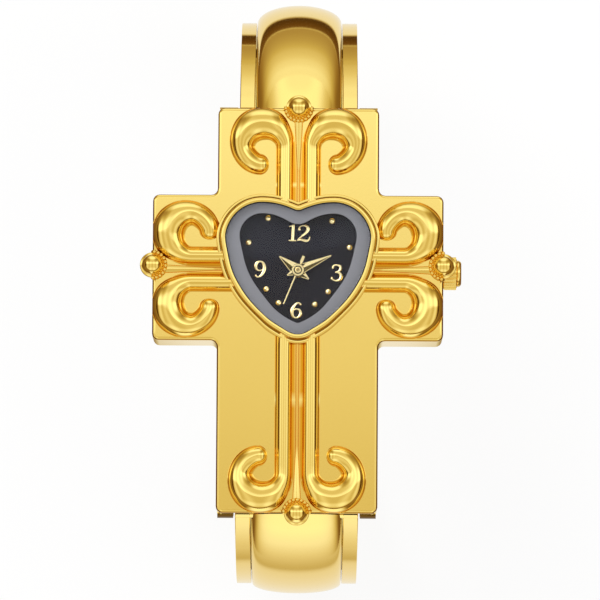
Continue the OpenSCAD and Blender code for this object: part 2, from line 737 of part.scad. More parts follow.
module stator() color(steel) on_axis(plate_z - stator_t) difference() {
    union() {
        at(rotor_at) cylinder(h = stator_t, r = 1.3);
        hull() for (p = [rotor_at, [coil_x, coil_y - coil_len / 2 + 0.6]]) at(p) cylinder(h = stator_t, r = 0.5, $fn = 32);
    }
    at(rotor_at, -nudge) cylinder(h = 1, r = rotor_hole_r);
    translate([0, 0, -nudge]) cylinder(h = 1, r = centre_m * (centre_wheel_n / 2 + 2) + 0.1);
}

module quartz_can() color(steel) on_axis() translate([can_at[0] - can_len / 2, can_at[1], board_z + board_t + can_r])
    along_x(0, can_len, can_r);

module battery() color(steel) on_axis(battery_z) at(battery_at) cylinder(h = battery_t, d = battery_d);

module battery_strap() color(steel) on_axis(board_z - strap_t) difference() {
    hull() for (p = [post_at[0], battery_at]) at(p) cylinder(h = strap_t, r = 0.7, $fn = 32);
    at(post_at[0], -nudge) cylinder(h = 1, r = thread_r);
}

module setting_lever() color(steel) on_axis(plate_z - 0.35)
    translate([lever_x, stem_r * neck + 0.08, 0]) cube([lever_w, 1.6, 0.35]);

// The first screw also holds the battery strap
module movement_screws() color(steel) on_axis() for (i = [0:2]) {
    head_z = board_z - head_t - (i == 0 ? strap_t : 0);
    at(post_at[i], head_z) {
        difference() {
            cylinder(h = head_t, r = 0.42);
            translate([-far, -0.06, -nudge]) cube([2 * far, 0.12, 0.08]);
        }
        translate([0, 0, head_t - nudge]) cylinder(h = plate_z + 0.45 - head_z - head_t, r = thread_r - touch);
    }
}

// A spur gear's outline; the first tooth points along the angle phase
function gear_points(n, m, phase) = [for (i = [0:n - 1], k = [0:3]) let (
        half = [-0.26, -0.11, 0.11, 0.26][k], grow = [-1.25, 0.9, 0.9, -1.25][k],
        a = phase + 360 * (i + half) / n, r = m * (n / 2 + grow)
    ) r * [cos(a), sin(a)]];
module gear(n, m, phase, z, h) translate([0, 0, z]) linear_extrude(h) polygon(gear_points(n, m, phase));
// The driven gear has a gap where the driver, in the direction deg, has a tooth
function gap_phase(deg, n) = deg + 180 + 180 / n;

// An arbor from its pivot in the bridge to its pivot in the main plate
module arbor() translate([0, 0, bridge_z + bridge_t - 0.15])
    cylinder(h = plate_z - bridge_z - bridge_t + 0.4, r = pivot_r);

module rotor() color(ink) on_axis() at(rotor_at) {
    arbor();
    gear(rotor_pinion_n, rotor_m, gap_phase(rotor_deg, rotor_pinion_n), upper_train_z - 0.05, 0.25);
    translate([0, 0, plate_z - 0.33]) cylinder(h = 0.3, r = magnet_r);
}

module intermediate_wheel() color(gold) on_axis() at(drive_at) {
    arbor();
    gear(intermediate_wheel_n, rotor_m, rotor_deg, upper_train_z, 0.15);
    gear(intermediate_pinion_n, drive_m, gap_phase(drive_deg, intermediate_pinion_n), lower_train_z - 0.03, 0.22);
}

module seconds_wheel() color(gold) on_axis() {
    translate([0, 0, bridge_z + bridge_t - 0.15])
        cylinder(h = hand_z[2] + hand_t - bridge_z - bridge_t + 0.15, r = arbor_r);
    gear(seconds_wheel_n, drive_m, drive_deg, lower_train_z, 0.15);
    gear(seconds_pinion_n, third_m, third_deg, upper_train_z - 0.05, 0.25);
}

module third_wheel() color(gold) on_axis() at(third_at) {
    arbor();
    gear(third_wheel_n, third_m, gap_phase(third_deg, third_wheel_n), upper_train_z, 0.15);
    gear(third_pinion_n, centre_m, gap_phase(third_deg, third_pinion_n), centre_z - 0.05, 0.25);
}

module centre_wheel() color(gold) on_axis() difference() {
    union() {
        gear(centre_wheel_n, centre_m, third_deg, centre_z, 0.15);
        translate([0, 0, centre_z]) cylinder(h = hand_z[1] + hand_t - centre_z, r = cannon_out);
        gear(cannon_pinion_n, motion_m, minute_deg, works_z + 0.12, 0.3);
    }
    translate([0, 0, centre_z - nudge]) cylinder(h = far, r = cannon_in);
}

module minute_wheel() color(gold) on_axis() at(minute_at) {
    gear(minute_wheel_n, motion_m, gap_phase(minute_deg, minute_wheel_n), works_z + 0.17, 0.18);
    gear(minute_pinion_n, hour_m, gap_phase(minute_deg, minute_pinion_n), works_z + 0.34, 0.42);
    translate([0, 0, plate_z + 0.2]) cylinder(h = works_z + 0.2 - plate_z, r = pivot_r);
}

module hour_wheel() color(gold) on_axis() difference() {
    union() {
        gear(hour_wheel_n, hour_m, minute_deg, works_z + 0.52, 0.18);
        translate([0, 0, works_z + 0.52]) cylinder(h = hand_z[0] + hand_t - works_z - 0.52, r = hour_out);
    }
    translate([0, 0, works_z]) cylinder(h = far, r = hour_in);
}

// Crown and stem

module crown() color(gold) translate([crown_x, axis_y, stem_z]) difference() {
    union() {
        rotate([0, 90, 0]) linear_extrude(crown_len - boss_len) polygon([
            for (i = [0:flutes * flute_points - 1]) let (
                a = 360 * i / (flutes * flute_points), r = crown_d / 2 - flute_r + flute_r * cos(a * flutes)
            ) r * [cos(a), sin(a)]]);
        along_x(crown_len - boss_len - nudge, crown_len, boss_d / 2);
    }
    along_x(-nudge, tube_end - crown_x + 0.15, cavity_r);
    along_x(0, stem_stop, stem_r);
}

module crown_gasket() color(seal) translate([crown_x + seal_x, axis_y, stem_z]) difference() {
    along_x(0, seal_t, cavity_r - 0.02);
    along_x(-nudge, seal_t + nudge, tube_out + 0.02);
}

module stem() color(steel) translate([0, axis_y, stem_z]) difference() {
    along_x(stem_tip, crown_x + stem_stop, stem_r - touch);
    difference() {
        along_x(lever_x - crown_pull - 0.05, lever_x + lever_w + 0.05, stem_r + 1);
        along_x(0, far, stem_r * neck);
    }
}

// Bangle arms. Each is drawn for the side of +Y, and the lower one is mirrored.

// The front arc starts at the knuckle, and both arcs meet at the bangle's widest line
function arm(hinge_y, band_w, rise) = let (
        py = hinge_y + 0.85 * knuckle_r, y_c = (py ^ 2 + hinge_z ^ 2 - band_reach ^ 2) / (2 * (py - band_reach))
    ) [hinge_y, band_w, rise, y_c, band_reach - y_c, atan2(hinge_z, py - y_c)];
upper_arm = arm(upper_hinge_y, upper_band_w, upper_rise);
lower_arm = arm(lower_hinge_y, lower_band_w, lower_rise);

// Stations down an arm, each an arc's middle, its radius and the angle round it
step_deg = 3;
function stations(y_c, r, a0, a1) = let (n = ceil(abs(a1 - a0) / step_deg))
    [for (i = [0:n]) [y_c, r, a0 + (a1 - a0) * i / n]];
function front_stations(q) = stations(q[3], q[4], q[5], 0);
function back_stations(a0, a1) = stations(band_reach - back_r, back_r, -a0, -a1);
function from_second(v) = [for (i = [1:len(v) - 1]) v[i]];
function whole_arm(q, end) = concat(front_stations(q), from_second(back_stations(0, end)));

// Sweeps a section of [height over the rails, place across the band], given as an outer and an inner side
module arm_loft(path, outer, inner) {
    section = concat(outer, [for (i = [len(inner) - 1:-1:0]) inner[i]]);
    loft([for (p = path) [for (s = section)
        [-s[1], p[0] + (p[1] + s[0]) * cos(p[2]), (p[1] + s[0]) * sin(p[2])]]], ends = "strip");
}

module foot(q) {
    low = back_r * sin(tip_deg) - foot_cut;
    translate([-far, 0, -low - far]) cube([2 * far, far, far]);
}

module at_hinge(q) translate([0, q[0], hinge_z]) children();

module arm_band(q) color(gold) difference() {
    half = q[1] / 2;
    inner = half - rail_w;
    union() {
        arm_loft(whole_arm(q, tip_deg),
            [[0, -half], [-rail_t, -half], [-rail_t, half], [0, half]],
            [[0, -inner], [floor_t - rail_t, -inner], [floor_t - rail_t, inner], [0, inner]]);
        at_hinge(q) along_x(-half, half, knuckle_r);
    }
    at_hinge(q) {
        along_x(-half - nudge, half + nudge, pin_r + pin_gap);
        along_x(-spring_half, spring_half, knuckle_r + 0.15);
    }
    foot(q);
}

floor_gap = 0.04;
function dome_side(half, rise) = let (low = floor_t - rail_t + floor_gap) concat(
    [[low, -half]],
    [for (a = [-90:15:90]) [rise * cos(a), half * sin(a)]],
    [[low, half]]
);

module arm_dome(q) color(gold) difference() {
    half = q[1] / 2 - rail_w - dome_gap;
    arm_loft(whole_arm(q, dome_deg), dome_side(half - dome_t, q[2] - dome_t), dome_side(half, q[2]));
    at_hinge(q) along_x(-half - 1, half + 1, knuckle_r + 0.05);
}

module arm_end_cap(q) color(gold) difference() {
    half = q[1] / 2 - rail_w - touch;
    low = floor_t - rail_t + floor_gap;
    arm_loft(back_stations(dome_deg + 0.3, tip_deg), [[0, -half], [low, -half]], [[0, half], [low, half]]);
    foot(q);
}

// A round-wire torsion spring round the hinge pin
module arm_spring(q) color(steel) at_hinge(q) {
    sides = 6;
    per_turn = 10;
    steps = spring_turns * per_turn;
    pitch = (2 * spring_half - 4 * wire_r) / spring_turns;
    loft([for (i = [0:steps]) let (a = 360 * i / per_turn, x = -spring_half + 2 * wire_r + pitch * i / per_turn)
        [for (k = [0:sides - 1]) let (b = -360 * k / sides, r = coil_mean_r + wire_r * cos(b))
            [x + wire_r * sin(b), r * cos(a), r * sin(a)]]]);
}

module upper_band() arm_band(upper_arm);
module upper_dome() arm_dome(upper_arm);
module upper_end_cap() arm_end_cap(upper_arm);
module upper_spring() arm_spring(upper_arm);
module lower_band() mirror([0, 1, 0]) arm_band(lower_arm);
module lower_dome() mirror([0, 1, 0]) arm_dome(lower_arm);
module lower_end_cap() mirror([0, 1, 0]) arm_end_cap(lower_arm);
module lower_spring() mirror([0, 1, 0]) arm_spring(lower_arm);

case_body();
upper_scrolls();
lower_scrolls();
left_scrolls();
right_scrolls();
bead_studs();
heart_bezel();
crystal();
crystal_gasket();
dial_ring();
dial();
dial_numerals();
dial_dots();
case_back();
back_gasket();
back_screws();
case_tube();
hinge_pins();
movement_holder();
main_plate();
train_bridge();
circuit_board();
coil();
stator();
quartz_can();
battery();
battery_strap();
setting_lever();
movement_screws();
rotor();
intermediate_wheel();
seconds_wheel();
third_wheel();
centre_wheel();
minute_wheel();
hour_wheel();
hour_hand();
minute_hand();
second_hand();
crown();
stem();
crown_gasket();
upper_band();
upper_dome();
upper_end_cap();
upper_spring();
lower_band();
lower_dome();
lower_end_cap();
lower_spring();
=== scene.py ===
"""Looks for a bracelet watch: a polished, gold-plated cross with scrolls and a heart dial, on a bangle.

+Z points out of the dial, +Y to 12 o'clock and +X to the crown. Sizes are in mm until a mesh is made.
"""

import json
import math

import bmesh
import bpy
from mathutils import Matrix, Vector


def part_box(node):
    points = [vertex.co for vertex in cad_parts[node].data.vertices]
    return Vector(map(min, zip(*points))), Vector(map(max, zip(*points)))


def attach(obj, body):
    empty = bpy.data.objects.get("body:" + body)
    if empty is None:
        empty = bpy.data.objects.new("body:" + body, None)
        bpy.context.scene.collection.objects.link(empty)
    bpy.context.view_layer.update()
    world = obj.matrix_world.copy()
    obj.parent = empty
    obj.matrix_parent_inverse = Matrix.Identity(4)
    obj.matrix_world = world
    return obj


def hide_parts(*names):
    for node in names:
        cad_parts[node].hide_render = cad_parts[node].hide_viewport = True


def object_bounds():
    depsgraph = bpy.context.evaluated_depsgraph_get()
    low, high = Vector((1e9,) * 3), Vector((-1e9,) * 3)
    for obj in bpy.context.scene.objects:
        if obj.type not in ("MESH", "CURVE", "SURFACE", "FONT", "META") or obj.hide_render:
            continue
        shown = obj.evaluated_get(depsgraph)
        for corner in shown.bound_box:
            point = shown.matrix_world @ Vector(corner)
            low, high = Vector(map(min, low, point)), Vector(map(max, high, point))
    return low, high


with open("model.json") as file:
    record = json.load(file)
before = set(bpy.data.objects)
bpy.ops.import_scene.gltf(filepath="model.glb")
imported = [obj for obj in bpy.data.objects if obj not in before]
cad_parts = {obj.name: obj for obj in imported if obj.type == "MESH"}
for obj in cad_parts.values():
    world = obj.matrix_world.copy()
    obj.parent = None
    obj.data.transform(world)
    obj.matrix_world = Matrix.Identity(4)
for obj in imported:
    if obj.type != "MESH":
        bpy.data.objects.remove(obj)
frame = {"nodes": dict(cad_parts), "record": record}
cad_box = [list(corner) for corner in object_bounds()]
nodes = frame["nodes"]

MM = 0.001

# Case
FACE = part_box("heart_bezel")[0].z / MM
AXIS_Y = 1.15
UPPER_REACH = 18.6
LOWER_REACH = 25.0
SIDE_REACH = 15.6
CASE_SINK = 0.2

# Heart, from the dial opening outwards
LOBE_X = 3.83
LOBE_Y = 3.53
LOBE_R = 2.42
CROWN_ARC_R = 7.77
NOTCH_R = 2.6
TIP_DEPTH = 5.81
TIP_R = 0.4
FLANK_DEG = 15
FLANK_OUT = 0.45
BEZEL_W = 2.52
BEZEL_H = 1.75
BEZEL_LAP = 0.45
FLANGE_H = 0.85
FLANGE_W = 0.31
GROOVE_W = 0.15
BORDER_W = 1.4
SEAT_W = 1.45
SEAT_GAP = 0.01
GASKET_W = 0.1
LEDGE_H = 0.45
GLASS_H = 0.7
GLASS_T = 0.8
GLASS_CHAMFER = 0.13
DIAL_EDGE = 0.7
DIAL_DEPTH = 1.8
DIAL_T = 0.4
DIAL_TOP = FACE - DIAL_DEPTH + DIAL_T

# Scrolls: one tube and its curl, whose rows give angle, radius, and shares of swollen width and height
TUBE_V = 1.43
TUBE_W = 1.75
TUBE_H = 0.85
SWELL_W = 2.94
SWELL_H = 1.35
FOOT_INSET = 0.07
FOOT_OUT = 0.015
FOOT_LEAN_DEG = 15
SEAM = 0.02
EYE_E = 4.2
EYE_V = 4.0
CURL_END = 266
CURL = [
    (0, 1, 0, 0), (30, 0.988, 0.36, 0.3), (60, 1.021, 1.04, 0.85), (90, 1.008, 1.27, 1),
    (120, 0.969, 1.185, 0.95), (150, 0.895, 0.83, 0.72), (180, 0.825, 0.5, 0.5), (210, 0.765, 0.42, 0.4),
    (240, 0.749, 0.37, 0.32), (266, 0.76, 0.26, 0.2),
]

# Studs at the ends of the limbs, with the turn that takes a limb drawn towards 6 o'clock to each
BEAD_R = 1.1
BEAD_RISE = 0.5
SKIRT_R = 1.35
SKIRT_DROP = 0.25
BEAD_FOOT = 0.7
SIDE_BEAD_UP = 0.4
STUDS = [
    ((0, UPPER_REACH), 180), ((0, -LOWER_REACH), 0),
    ((-SIDE_REACH, AXIS_Y + SIDE_BEAD_UP), -90), ((SIDE_REACH, AXIS_Y + SIDE_BEAD_UP), 90),
]
COLLAR_R = 1.4
COLLAR_SWEEP = 1.5

# Dial: numerals as (digit, clock degrees, further out, across, spin), dots as (radius, clock degrees)
DIAL_TURN = 2.3
NUMERAL_H = 1.8
NUMERAL_RING = 4.0
NUMERAL_T = 0.12
NUMERALS = [
    ("1", 0, 0, -0.75, 0), ("2", 0, 0, 0.46, 0), ("3", 90, 0.08, 0, 0), ("6", 180, 0.25, 0, 0),
    ("6", 270, 0, 0, 180),
]
DOT_D = 0.7
DOT_H = 0.26
DOTS = [
    (6.4, 32), (6.4, -32), (6.0, 62.3), (6.0, -62.3),
    (3.85, 122.3), (3.85, -122.3), (4.0, 151.5), (4.0, -151.5),
]

# Hands, and the tubes that carry them through the dial
HAND_DEGREES = {"hour": 307.5, "minute": 65.5, "second": 202.4}
HAND_RISE = {"hour": 0.35, "minute": 0.75, "second": 1.15}
HUB_R = 0.62
PLATE_T = 0.09
RIDGE_T = 0.27
SECOND_R = 0.12
TUBE_GAP = 0.03
MINUTE_WALL = 0.15
HOUR_WALL = 0.22
DIAL_GAP = 0.13
# Rings of painted shade on the second hand's turned hub: outer radius and how dark
HUB_SHADES = ((0.06, 1.0), (0.1, 0.5), (0.31, 0.15), (0.43, 0.9), (0.6, 0.15), (0.7, 0.9))

# Crown
CROWN_X = SIDE_REACH + 0.05
CROWN_R = 1.77
CROWN_LEN = 1.95
CROWN_BORE = 1.21
BORE_DEPTH = 1.1
BOSS_R = 1.43
BOSS_LEN = 0.48
STEM_DEPTH = 3.6
FLUTES = 26
FLUTE_R = 0.14

# Bangle: each arm's name, side, limb, width and dome height
BAND_REACH = 31.2
BACK_R = 26.2
DOME_DEG = 58
DOME_T = 0.5
RAIL_W = 1.6
RAIL_T = 2.1
FLOOR_T = 0.6
FLOOR_GAP = 0.04
DOME_GAP = 0.12
NOSE_Y = 0.86
GROOVE_R = 2.76
EAR_GAP = 0.2
EAR_X = 6.4
SHOULDER = 0.33
SHOULDER_LEN = 9.0
KNUCKLE_R = 1.2
HINGE_Z = 24.0
HINGE_INSET = 0.8
PIN_R = 0.5
WIRE_R = 0.13
SPRING_HALF = 1.8
SPRING_TURNS = 8
ARMS = (("upper", 1, UPPER_REACH, 12.7, 1.96), ("lower", -1, LOWER_REACH, 13.2, 1.1))

# Finishes
EVEN_GRAIN = (4000.0, 4000.0, 4000.0)
TONE_TOP = 1.7


# Meshes


def lerp(a, b, t):
    return a + (b - a) * t


def eased(t):
    t = min(1, max(0, t))
    return t * t * (3 - 2 * t)


def arc(centre, radius, start_deg, end_deg, steps, skip=0):
    """Points round a centre, the first skip of them left out."""
    turns = [math.radians(lerp(start_deg, end_deg, i / steps)) for i in range(skip, steps + 1)]
    return [(centre[0] + radius * math.cos(a), centre[1] + radius * math.sin(a)) for a in turns]


def smooth_lookup(table, x, column):
    """A table's column at x, on a smooth curve through its rows."""
    last = len(table) - 1
    i = next((k for k in range(last) if x <= table[k + 1][0]), last - 1)

    def slope(k):
        if k == 0:
            return 0.0
        before, after = table[k - 1], table[min(k + 1, last)]
        return (after[column] - before[column]) / (after[0] - before[0])

    step = table[i + 1][0] - table[i][0]
    t = min(max((x - table[i][0]) / step, 0), 1)
    a, b = table[i][column], table[i + 1][column]
    return (
        (2 * t**3 - 3 * t**2 + 1) * a + (t**3 - 2 * t**2 + t) * step * slope(i)
        + (3 * t**2 - 2 * t**3) * b + (t**3 - t**2) * step * slope(i + 1)
    )


def loft(rings, joined=False, capped=True):
    """Points and faces of a skin over rings that have as many points each."""
    n, m = len(rings[0]), len(rings)
    points = [p for ring in rings for p in ring]
    faces = []
    for j in range(m if joined else m - 1):
        k = (j + 1) % m
        faces += [(j * n + i, j * n + (i + 1) % n, k * n + (i + 1) % n, k * n + i) for i in range(n)]
    if capped and not joined:
        faces += [tuple(range(n)), tuple((m - 1) * n + i for i in reversed(range(n)))]
    return points, faces


def lathe(profile, steps, place=lambda p: p):
    """A turned solid: profile gives (radius, along), and place maps (across, up, along) into the case."""
    rings = []
    for i in range(steps):
        a = 2 * math.pi * i / steps
        rings.append([place((r * math.cos(a), r * math.sin(a), z)) for r, z in profile])
    return loft(rings, joined=True)


def together(*shapes):
    points, faces = [], []
    for more_points, more_faces in shapes:
        start = len(points)
        points += more_points
        faces += [tuple(i + start for i in face) for face in more_faces]
    return points, faces


def moved(shape, matrix):
    return [tuple(matrix @ Vector(p)) for p in shape[0]], shape[1]


def linked(name, data):
    """A new object in the scene."""
    obj = bpy.data.objects.new(name, data)
    bpy.context.scene.collection.objects.link(obj)
    return obj


def make(name, shape, material, smooth_deg=35, merge=1e-4):
    """A closed mesh in metres, with its doubles merged, faces outwards and its sharp edges marked."""
    mesh = bpy.data.meshes.new(name)
    mesh.from_pydata([Vector(p) * MM for p in shape[0]], [], shape[1])
    obj = linked(name, mesh)
    work = bmesh.new()
    work.from_mesh(mesh)
    bmesh.ops.remove_doubles(work, verts=work.verts, dist=merge * MM)
    bmesh.ops.dissolve_degenerate(work, edges=work.edges, dist=merge * MM)
    bmesh.ops.recalc_face_normals(work, faces=work.faces)
    work.to_mesh(mesh)
    work.free()
    mesh.materials.append(material)
    shade(obj, smooth_deg)
    return obj


def shade(obj, smooth_deg):
    obj.data.polygons.foreach_set("use_smooth", [True] * len(obj.data.polygons))
    obj.data.set_sharp_from_angle(angle=math.radians(smooth_deg))


def coat(mesh, material):
    """One material for a whole mesh."""
    mesh.materials.clear()
    mesh.materials.append(material)
    mesh.polygons.foreach_set("material_index", [0] * len(mesh.polygons))


def settle(obj, material=None):
    """Turns an object with modifiers into a plain mesh."""
    graph = bpy.context.evaluated_depsgraph_get()
    shaped = obj.evaluated_get(graph)
    mesh = bpy.data.meshes.new_from_object(shaped, preserve_all_data_layers=True, depsgraph=graph)
    obj.modifiers.clear()
    obj.data = mesh
    if material:
        coat(mesh, material)


def paint_shade(obj, domain, shade_values):
    """Paints shade on each point or face as an attribute: redder, towards the material's painted shade
    colour, up to 1, and black by 2.
    """
    obj.data.attributes.new("painted_shade", "FLOAT", domain).data.foreach_set("value", shade_values)


def finish_piece(obj, body, slot, *replaced):
    """Says what a piece rides on and the CAD nodes that it stands for, which it hides; the slot is not used.
    """
    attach(obj, body)
    if replaced:
        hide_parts(*replaced)


def make_piece(name, shape, body, slot, *replaced, **shading):
    """A mesh of its slot's material that rides on a body."""
    obj = make(name, shape, SLOT_MATERIALS[slot], **shading)
    finish_piece(obj, body, slot, *replaced)
    return obj


def polished(name, body, slot, bevel, cutters=()):
    """Replaces a CAD node by a copy of its shape with joined facets, rounded edges and even shading."""
    smooth_deg = 32
    obj = linked(name + "_polished", nodes[name].data.copy())
    work = bmesh.new()
    work.from_mesh(obj.data)
    bmesh.ops.remove_doubles(work, verts=work.verts, dist=2e-7)
    bmesh.ops.dissolve_limit(
        work, angle_limit=math.radians(0.4), verts=work.verts, edges=work.edges, use_dissolve_boundaries=False
    )
    work.to_mesh(obj.data)
    work.free()
    for tool in cutters:
        cut = obj.modifiers.new("cut", "BOOLEAN")
        cut.operation, cut.object, cut.solver = "DIFFERENCE", tool, "EXACT"
    if cutters:
        settle(obj)
        for tool in cutters:
            bpy.data.objects.remove(tool)
    shade(obj, smooth_deg)
    rounding = obj.modifiers.new("edges", "BEVEL")
    rounding.width = bevel * MM
    rounding.segments = 2
    rounding.limit_method = "ANGLE"
    rounding.angle_limit = math.radians(smooth_deg)
    rounding.harden_normals = False
    weighted = obj.modifiers.new("shading", "WEIGHTED_NORMAL")
    weighted.keep_sharp = True
    weighted.weight = 80
    settle(obj, SLOT_MATERIALS[slot])
    finish_piece(obj, body, slot, name)
    return obj


def half_heart(d, fine):
    """Right half of the solid's heart, moved out by d, from the tip to the notch."""
    shoulder, tip = Vector((LOBE_X, LOBE_Y)), Vector((0, TIP_R - TIP_DEPTH))
    lean = Vector((math.cos(math.radians(FLANK_DEG)), -math.sin(math.radians(FLANK_DEG))))
    span = shoulder - tip
    flank_r = (span.dot(span) + LOBE_R**2 - TIP_R**2 + 2 * LOBE_R * span.dot(lean)) / (
        2 * span.dot(lean) + 2 * LOBE_R - 2 * TIP_R
    )
    flank = shoulder - (flank_r - LOBE_R) * lean
    tip_out = math.degrees(math.atan2(tip.y - flank.y, tip.x - flank.x))
    crown = Vector((LOBE_X, LOBE_Y + LOBE_R - CROWN_ARC_R))
    notch = Vector((0, crown.y + math.sqrt((CROWN_ARC_R + NOTCH_R) ** 2 - LOBE_X**2)))
    notch_half = math.degrees(math.asin(LOBE_X / (CROWN_ARC_R + NOTCH_R)))
    return (
        arc(tip, TIP_R + d, -90, tip_out, 3 * fine)
        + arc(flank, flank_r + d, tip_out, -FLANK_DEG, 8 * fine, 1)
        + arc(shoulder, LOBE_R + d, -FLANK_DEG, 90, 9 * fine, 1)
        + arc(crown, CROWN_ARC_R + d, 90, 90 + notch_half, 5 * fine, 1)
        + arc(notch, NOTCH_R - d, notch_half - 90, -90, 3 * fine, 1)
    )


def fuller(x, y, d):
    """The photographed heart: flanks fuller, lobes lower, notch deeper and tip blunter than in the solid."""
    tip_y = -(5.65 + 1.05 * d)
    side = FLANK_OUT * eased((y - tip_y) / 1.7) * eased((3.2 - y) / 4.4) if x > 0.01 else 0
    notch_share = math.exp(-((x / 1.9) ** 2))
    drop = lerp(min(0.33 * d, 0.4), min(0.41 + 0.11 * d, 0.53), notch_share) * eased((y - 1) / 4.5)
    blunt = max(0, 1 - d / 1.2) * (0.3 * math.exp(-((x / 0.75) ** 2)) - 0.15)
    lift = (min(0.26 * d - 0.16, 0.3) + blunt) * eased((-y - 2.5) / 3.5)
    return x + side, y - drop + lift


def heart(d, fine=3, solid=False):
    """The heart's outline moved out by d, about the hands' axis; fuller unless the solid's is asked for."""
    half = half_heart(d, fine)
    if not solid:
        half = [fuller(x, y, d) for x, y in half]
    return half + [(-x, y) for x, y in half[-2:0:-1]]


def heart_at(d, z, fine=3, solid=False):
    return [(x, y + AXIS_Y, z) for x, y in heart(d, fine, solid)]


# Node trees


def node(tree, kind, links=None, **values):
    """A node with its properties, and the links and values of its inputs."""
    made = tree.nodes.new(kind)
    for key, value in values.items():
        setattr(made, key, value)
    for key, value in (links or {}).items():
        if isinstance(value, bpy.types.NodeSocket):
            tree.links.new(value, made.inputs[key])
        else:
            made.inputs[key].default_value = value
    return made


def maths(tree, operation, *values):
    return node(tree, "ShaderNodeMath", dict(enumerate(values)), operation=operation).outputs[0]


def blend(tree, factor, low, high):
    return node(tree, "ShaderNodeMix", {0: factor, 2: low, 3: high}, data_type="FLOAT").outputs[0]


def xyz(tree, x, y, z):
    return node(tree, "ShaderNodeCombineXYZ", {"X": x, "Y": y, "Z": z}).outputs[0]


def rising(tree, factor, low, high):
    """A smooth step from 0 at low to 1 at high."""
    ends = {0: factor, 1: low, 2: high}
    return node(tree, "ShaderNodeMapRange", ends, interpolation_type="SMOOTHSTEP").outputs[0]


def noise(tree, place, scale, detail):
    inputs = {"Vector": place, "Scale": scale, "Detail": detail}
    return node(tree, "ShaderNodeTexNoise", inputs).outputs["Fac"]


def new_group(name, kind, inputs, outputs):
    """A node group with its sockets, given as (name, kind, value), and its inner ends."""
    tree = bpy.data.node_groups.new(name, kind + "NodeTree")
    for way, sockets in (("INPUT", inputs), ("OUTPUT", outputs)):
        for label, held, *value in sockets:
            socket = tree.interface.new_socket(name=label, in_out=way, socket_type="NodeSocket" + held)
            if value:
                socket.default_value = value[0]
    return tree, node(tree, "NodeGroupInput").outputs, node(tree, "NodeGroupOutput").inputs


def new_pattern(name, inputs):
    """A geometry tree that takes geometry, the inputs given and a material."""
    ends = [("Geometry", "Geometry")]
    return new_group(name, "Geometry", ends + inputs + [("Material", "Material")], ends)


def instances(tree, points, instance, **values):
    """Copies of an instance on points."""
    inputs = {"Points": points, "Instance": instance, **values}
    return node(tree, "GeometryNodeInstanceOnPoints", inputs).outputs["Instances"]


def laid_across(tree, geometry, place):
    """Geometry made along Z, laid along X at a place."""
    turn = (0, math.radians(90), 0)
    inputs = {"Geometry": geometry, "Translation": place, "Rotation": turn}
    return node(tree, "GeometryNodeTransform", inputs).outputs["Geometry"]


def hand_out(tree, given, result, geometry):
    """Ends a geometry tree: what it made becomes real and gets its material."""
    real = node(tree, "GeometryNodeRealizeInstances", {"Geometry": geometry}).outputs[0]
    dressed = node(tree, "GeometryNodeSetMaterial", {"Geometry": real, "Material": given["Material"]})
    tree.links.new(dressed.outputs["Geometry"], result["Geometry"])
    return tree


def apply_pattern(obj, tree, values, smooth_deg):
    """Runs a geometry tree on an object and leaves a plain mesh."""
    pattern = obj.modifiers.new(tree.name, "NODES")
    pattern.node_group = tree
    for item in tree.interface.items_tree:
        if item.item_type == "SOCKET" and item.in_out == "INPUT" and item.name in values:
            pattern[item.identifier] = values[item.name]
    settle(obj, values["Material"])
    shade(obj, smooth_deg)


def grow(name, tree, points, values, turns=()):
    """An object whose mesh a geometry tree makes from a few points."""
    mesh = bpy.data.meshes.new(name)
    mesh.from_pydata([Vector(p) * MM for p in points], [], [])
    if turns:
        mesh.attributes.new("turn", "FLOAT", "POINT").data.foreach_set("value", turns)
    obj = linked(name, mesh)
    apply_pattern(obj, tree, values, 40)
    return obj


def ramp(tree, factor, stops, soft=False):
    made = node(tree, "ShaderNodeValToRGB", {"Fac": factor})
    made.color_ramp.interpolation = "EASE" if soft else "LINEAR"
    elements = made.color_ramp.elements
    while len(elements) < len(stops):
        elements.new(0.5)
    for element, (place, colour) in zip(elements, stops):
        element.position = place
        element.color = (*colour, 1)
    return made.outputs["Color"]


def grey_ramp(tree, factor, stops, soft=True):
    """A brightness that changes along a factor; the stops' values may go up to TONE_TOP."""
    colour = ramp(tree, factor, [(place, [value / TONE_TOP] * 3) for place, value in stops], soft)
    return maths(tree, "MULTIPLY", colour, TONE_TOP)


# Materials


def polish_marks():
    """Faint hairlines and clouding that hand polishing leaves, in the piece's own coordinates."""
    tree, given, result = new_group(
        "polish_marks", "Shader",
        [("Roughness", "Float", 0.08), ("Spread", "Float", 0.04), ("Hairlines", "Vector", EVEN_GRAIN)],
        [("Roughness", "Float"), ("Height", "Float")],
    )
    place = node(tree, "ShaderNodeTexCoord").outputs["Object"]
    cloud = noise(tree, place, 240.0, 3.0)
    stretched = node(tree, "ShaderNodeVectorMath", {0: place, 1: given["Hairlines"]}, operation="MULTIPLY")
    hair = noise(tree, stretched.outputs[0], 1.0, 2.0)
    centred = maths(tree, "ADD", maths(tree, "ADD", cloud, hair), -1.0)
    rough = maths(tree, "MULTIPLY_ADD", centred, given["Spread"], given["Roughness"])
    tree.links.new(rough, result["Roughness"])
    tree.links.new(hair, result["Height"])
    return tree


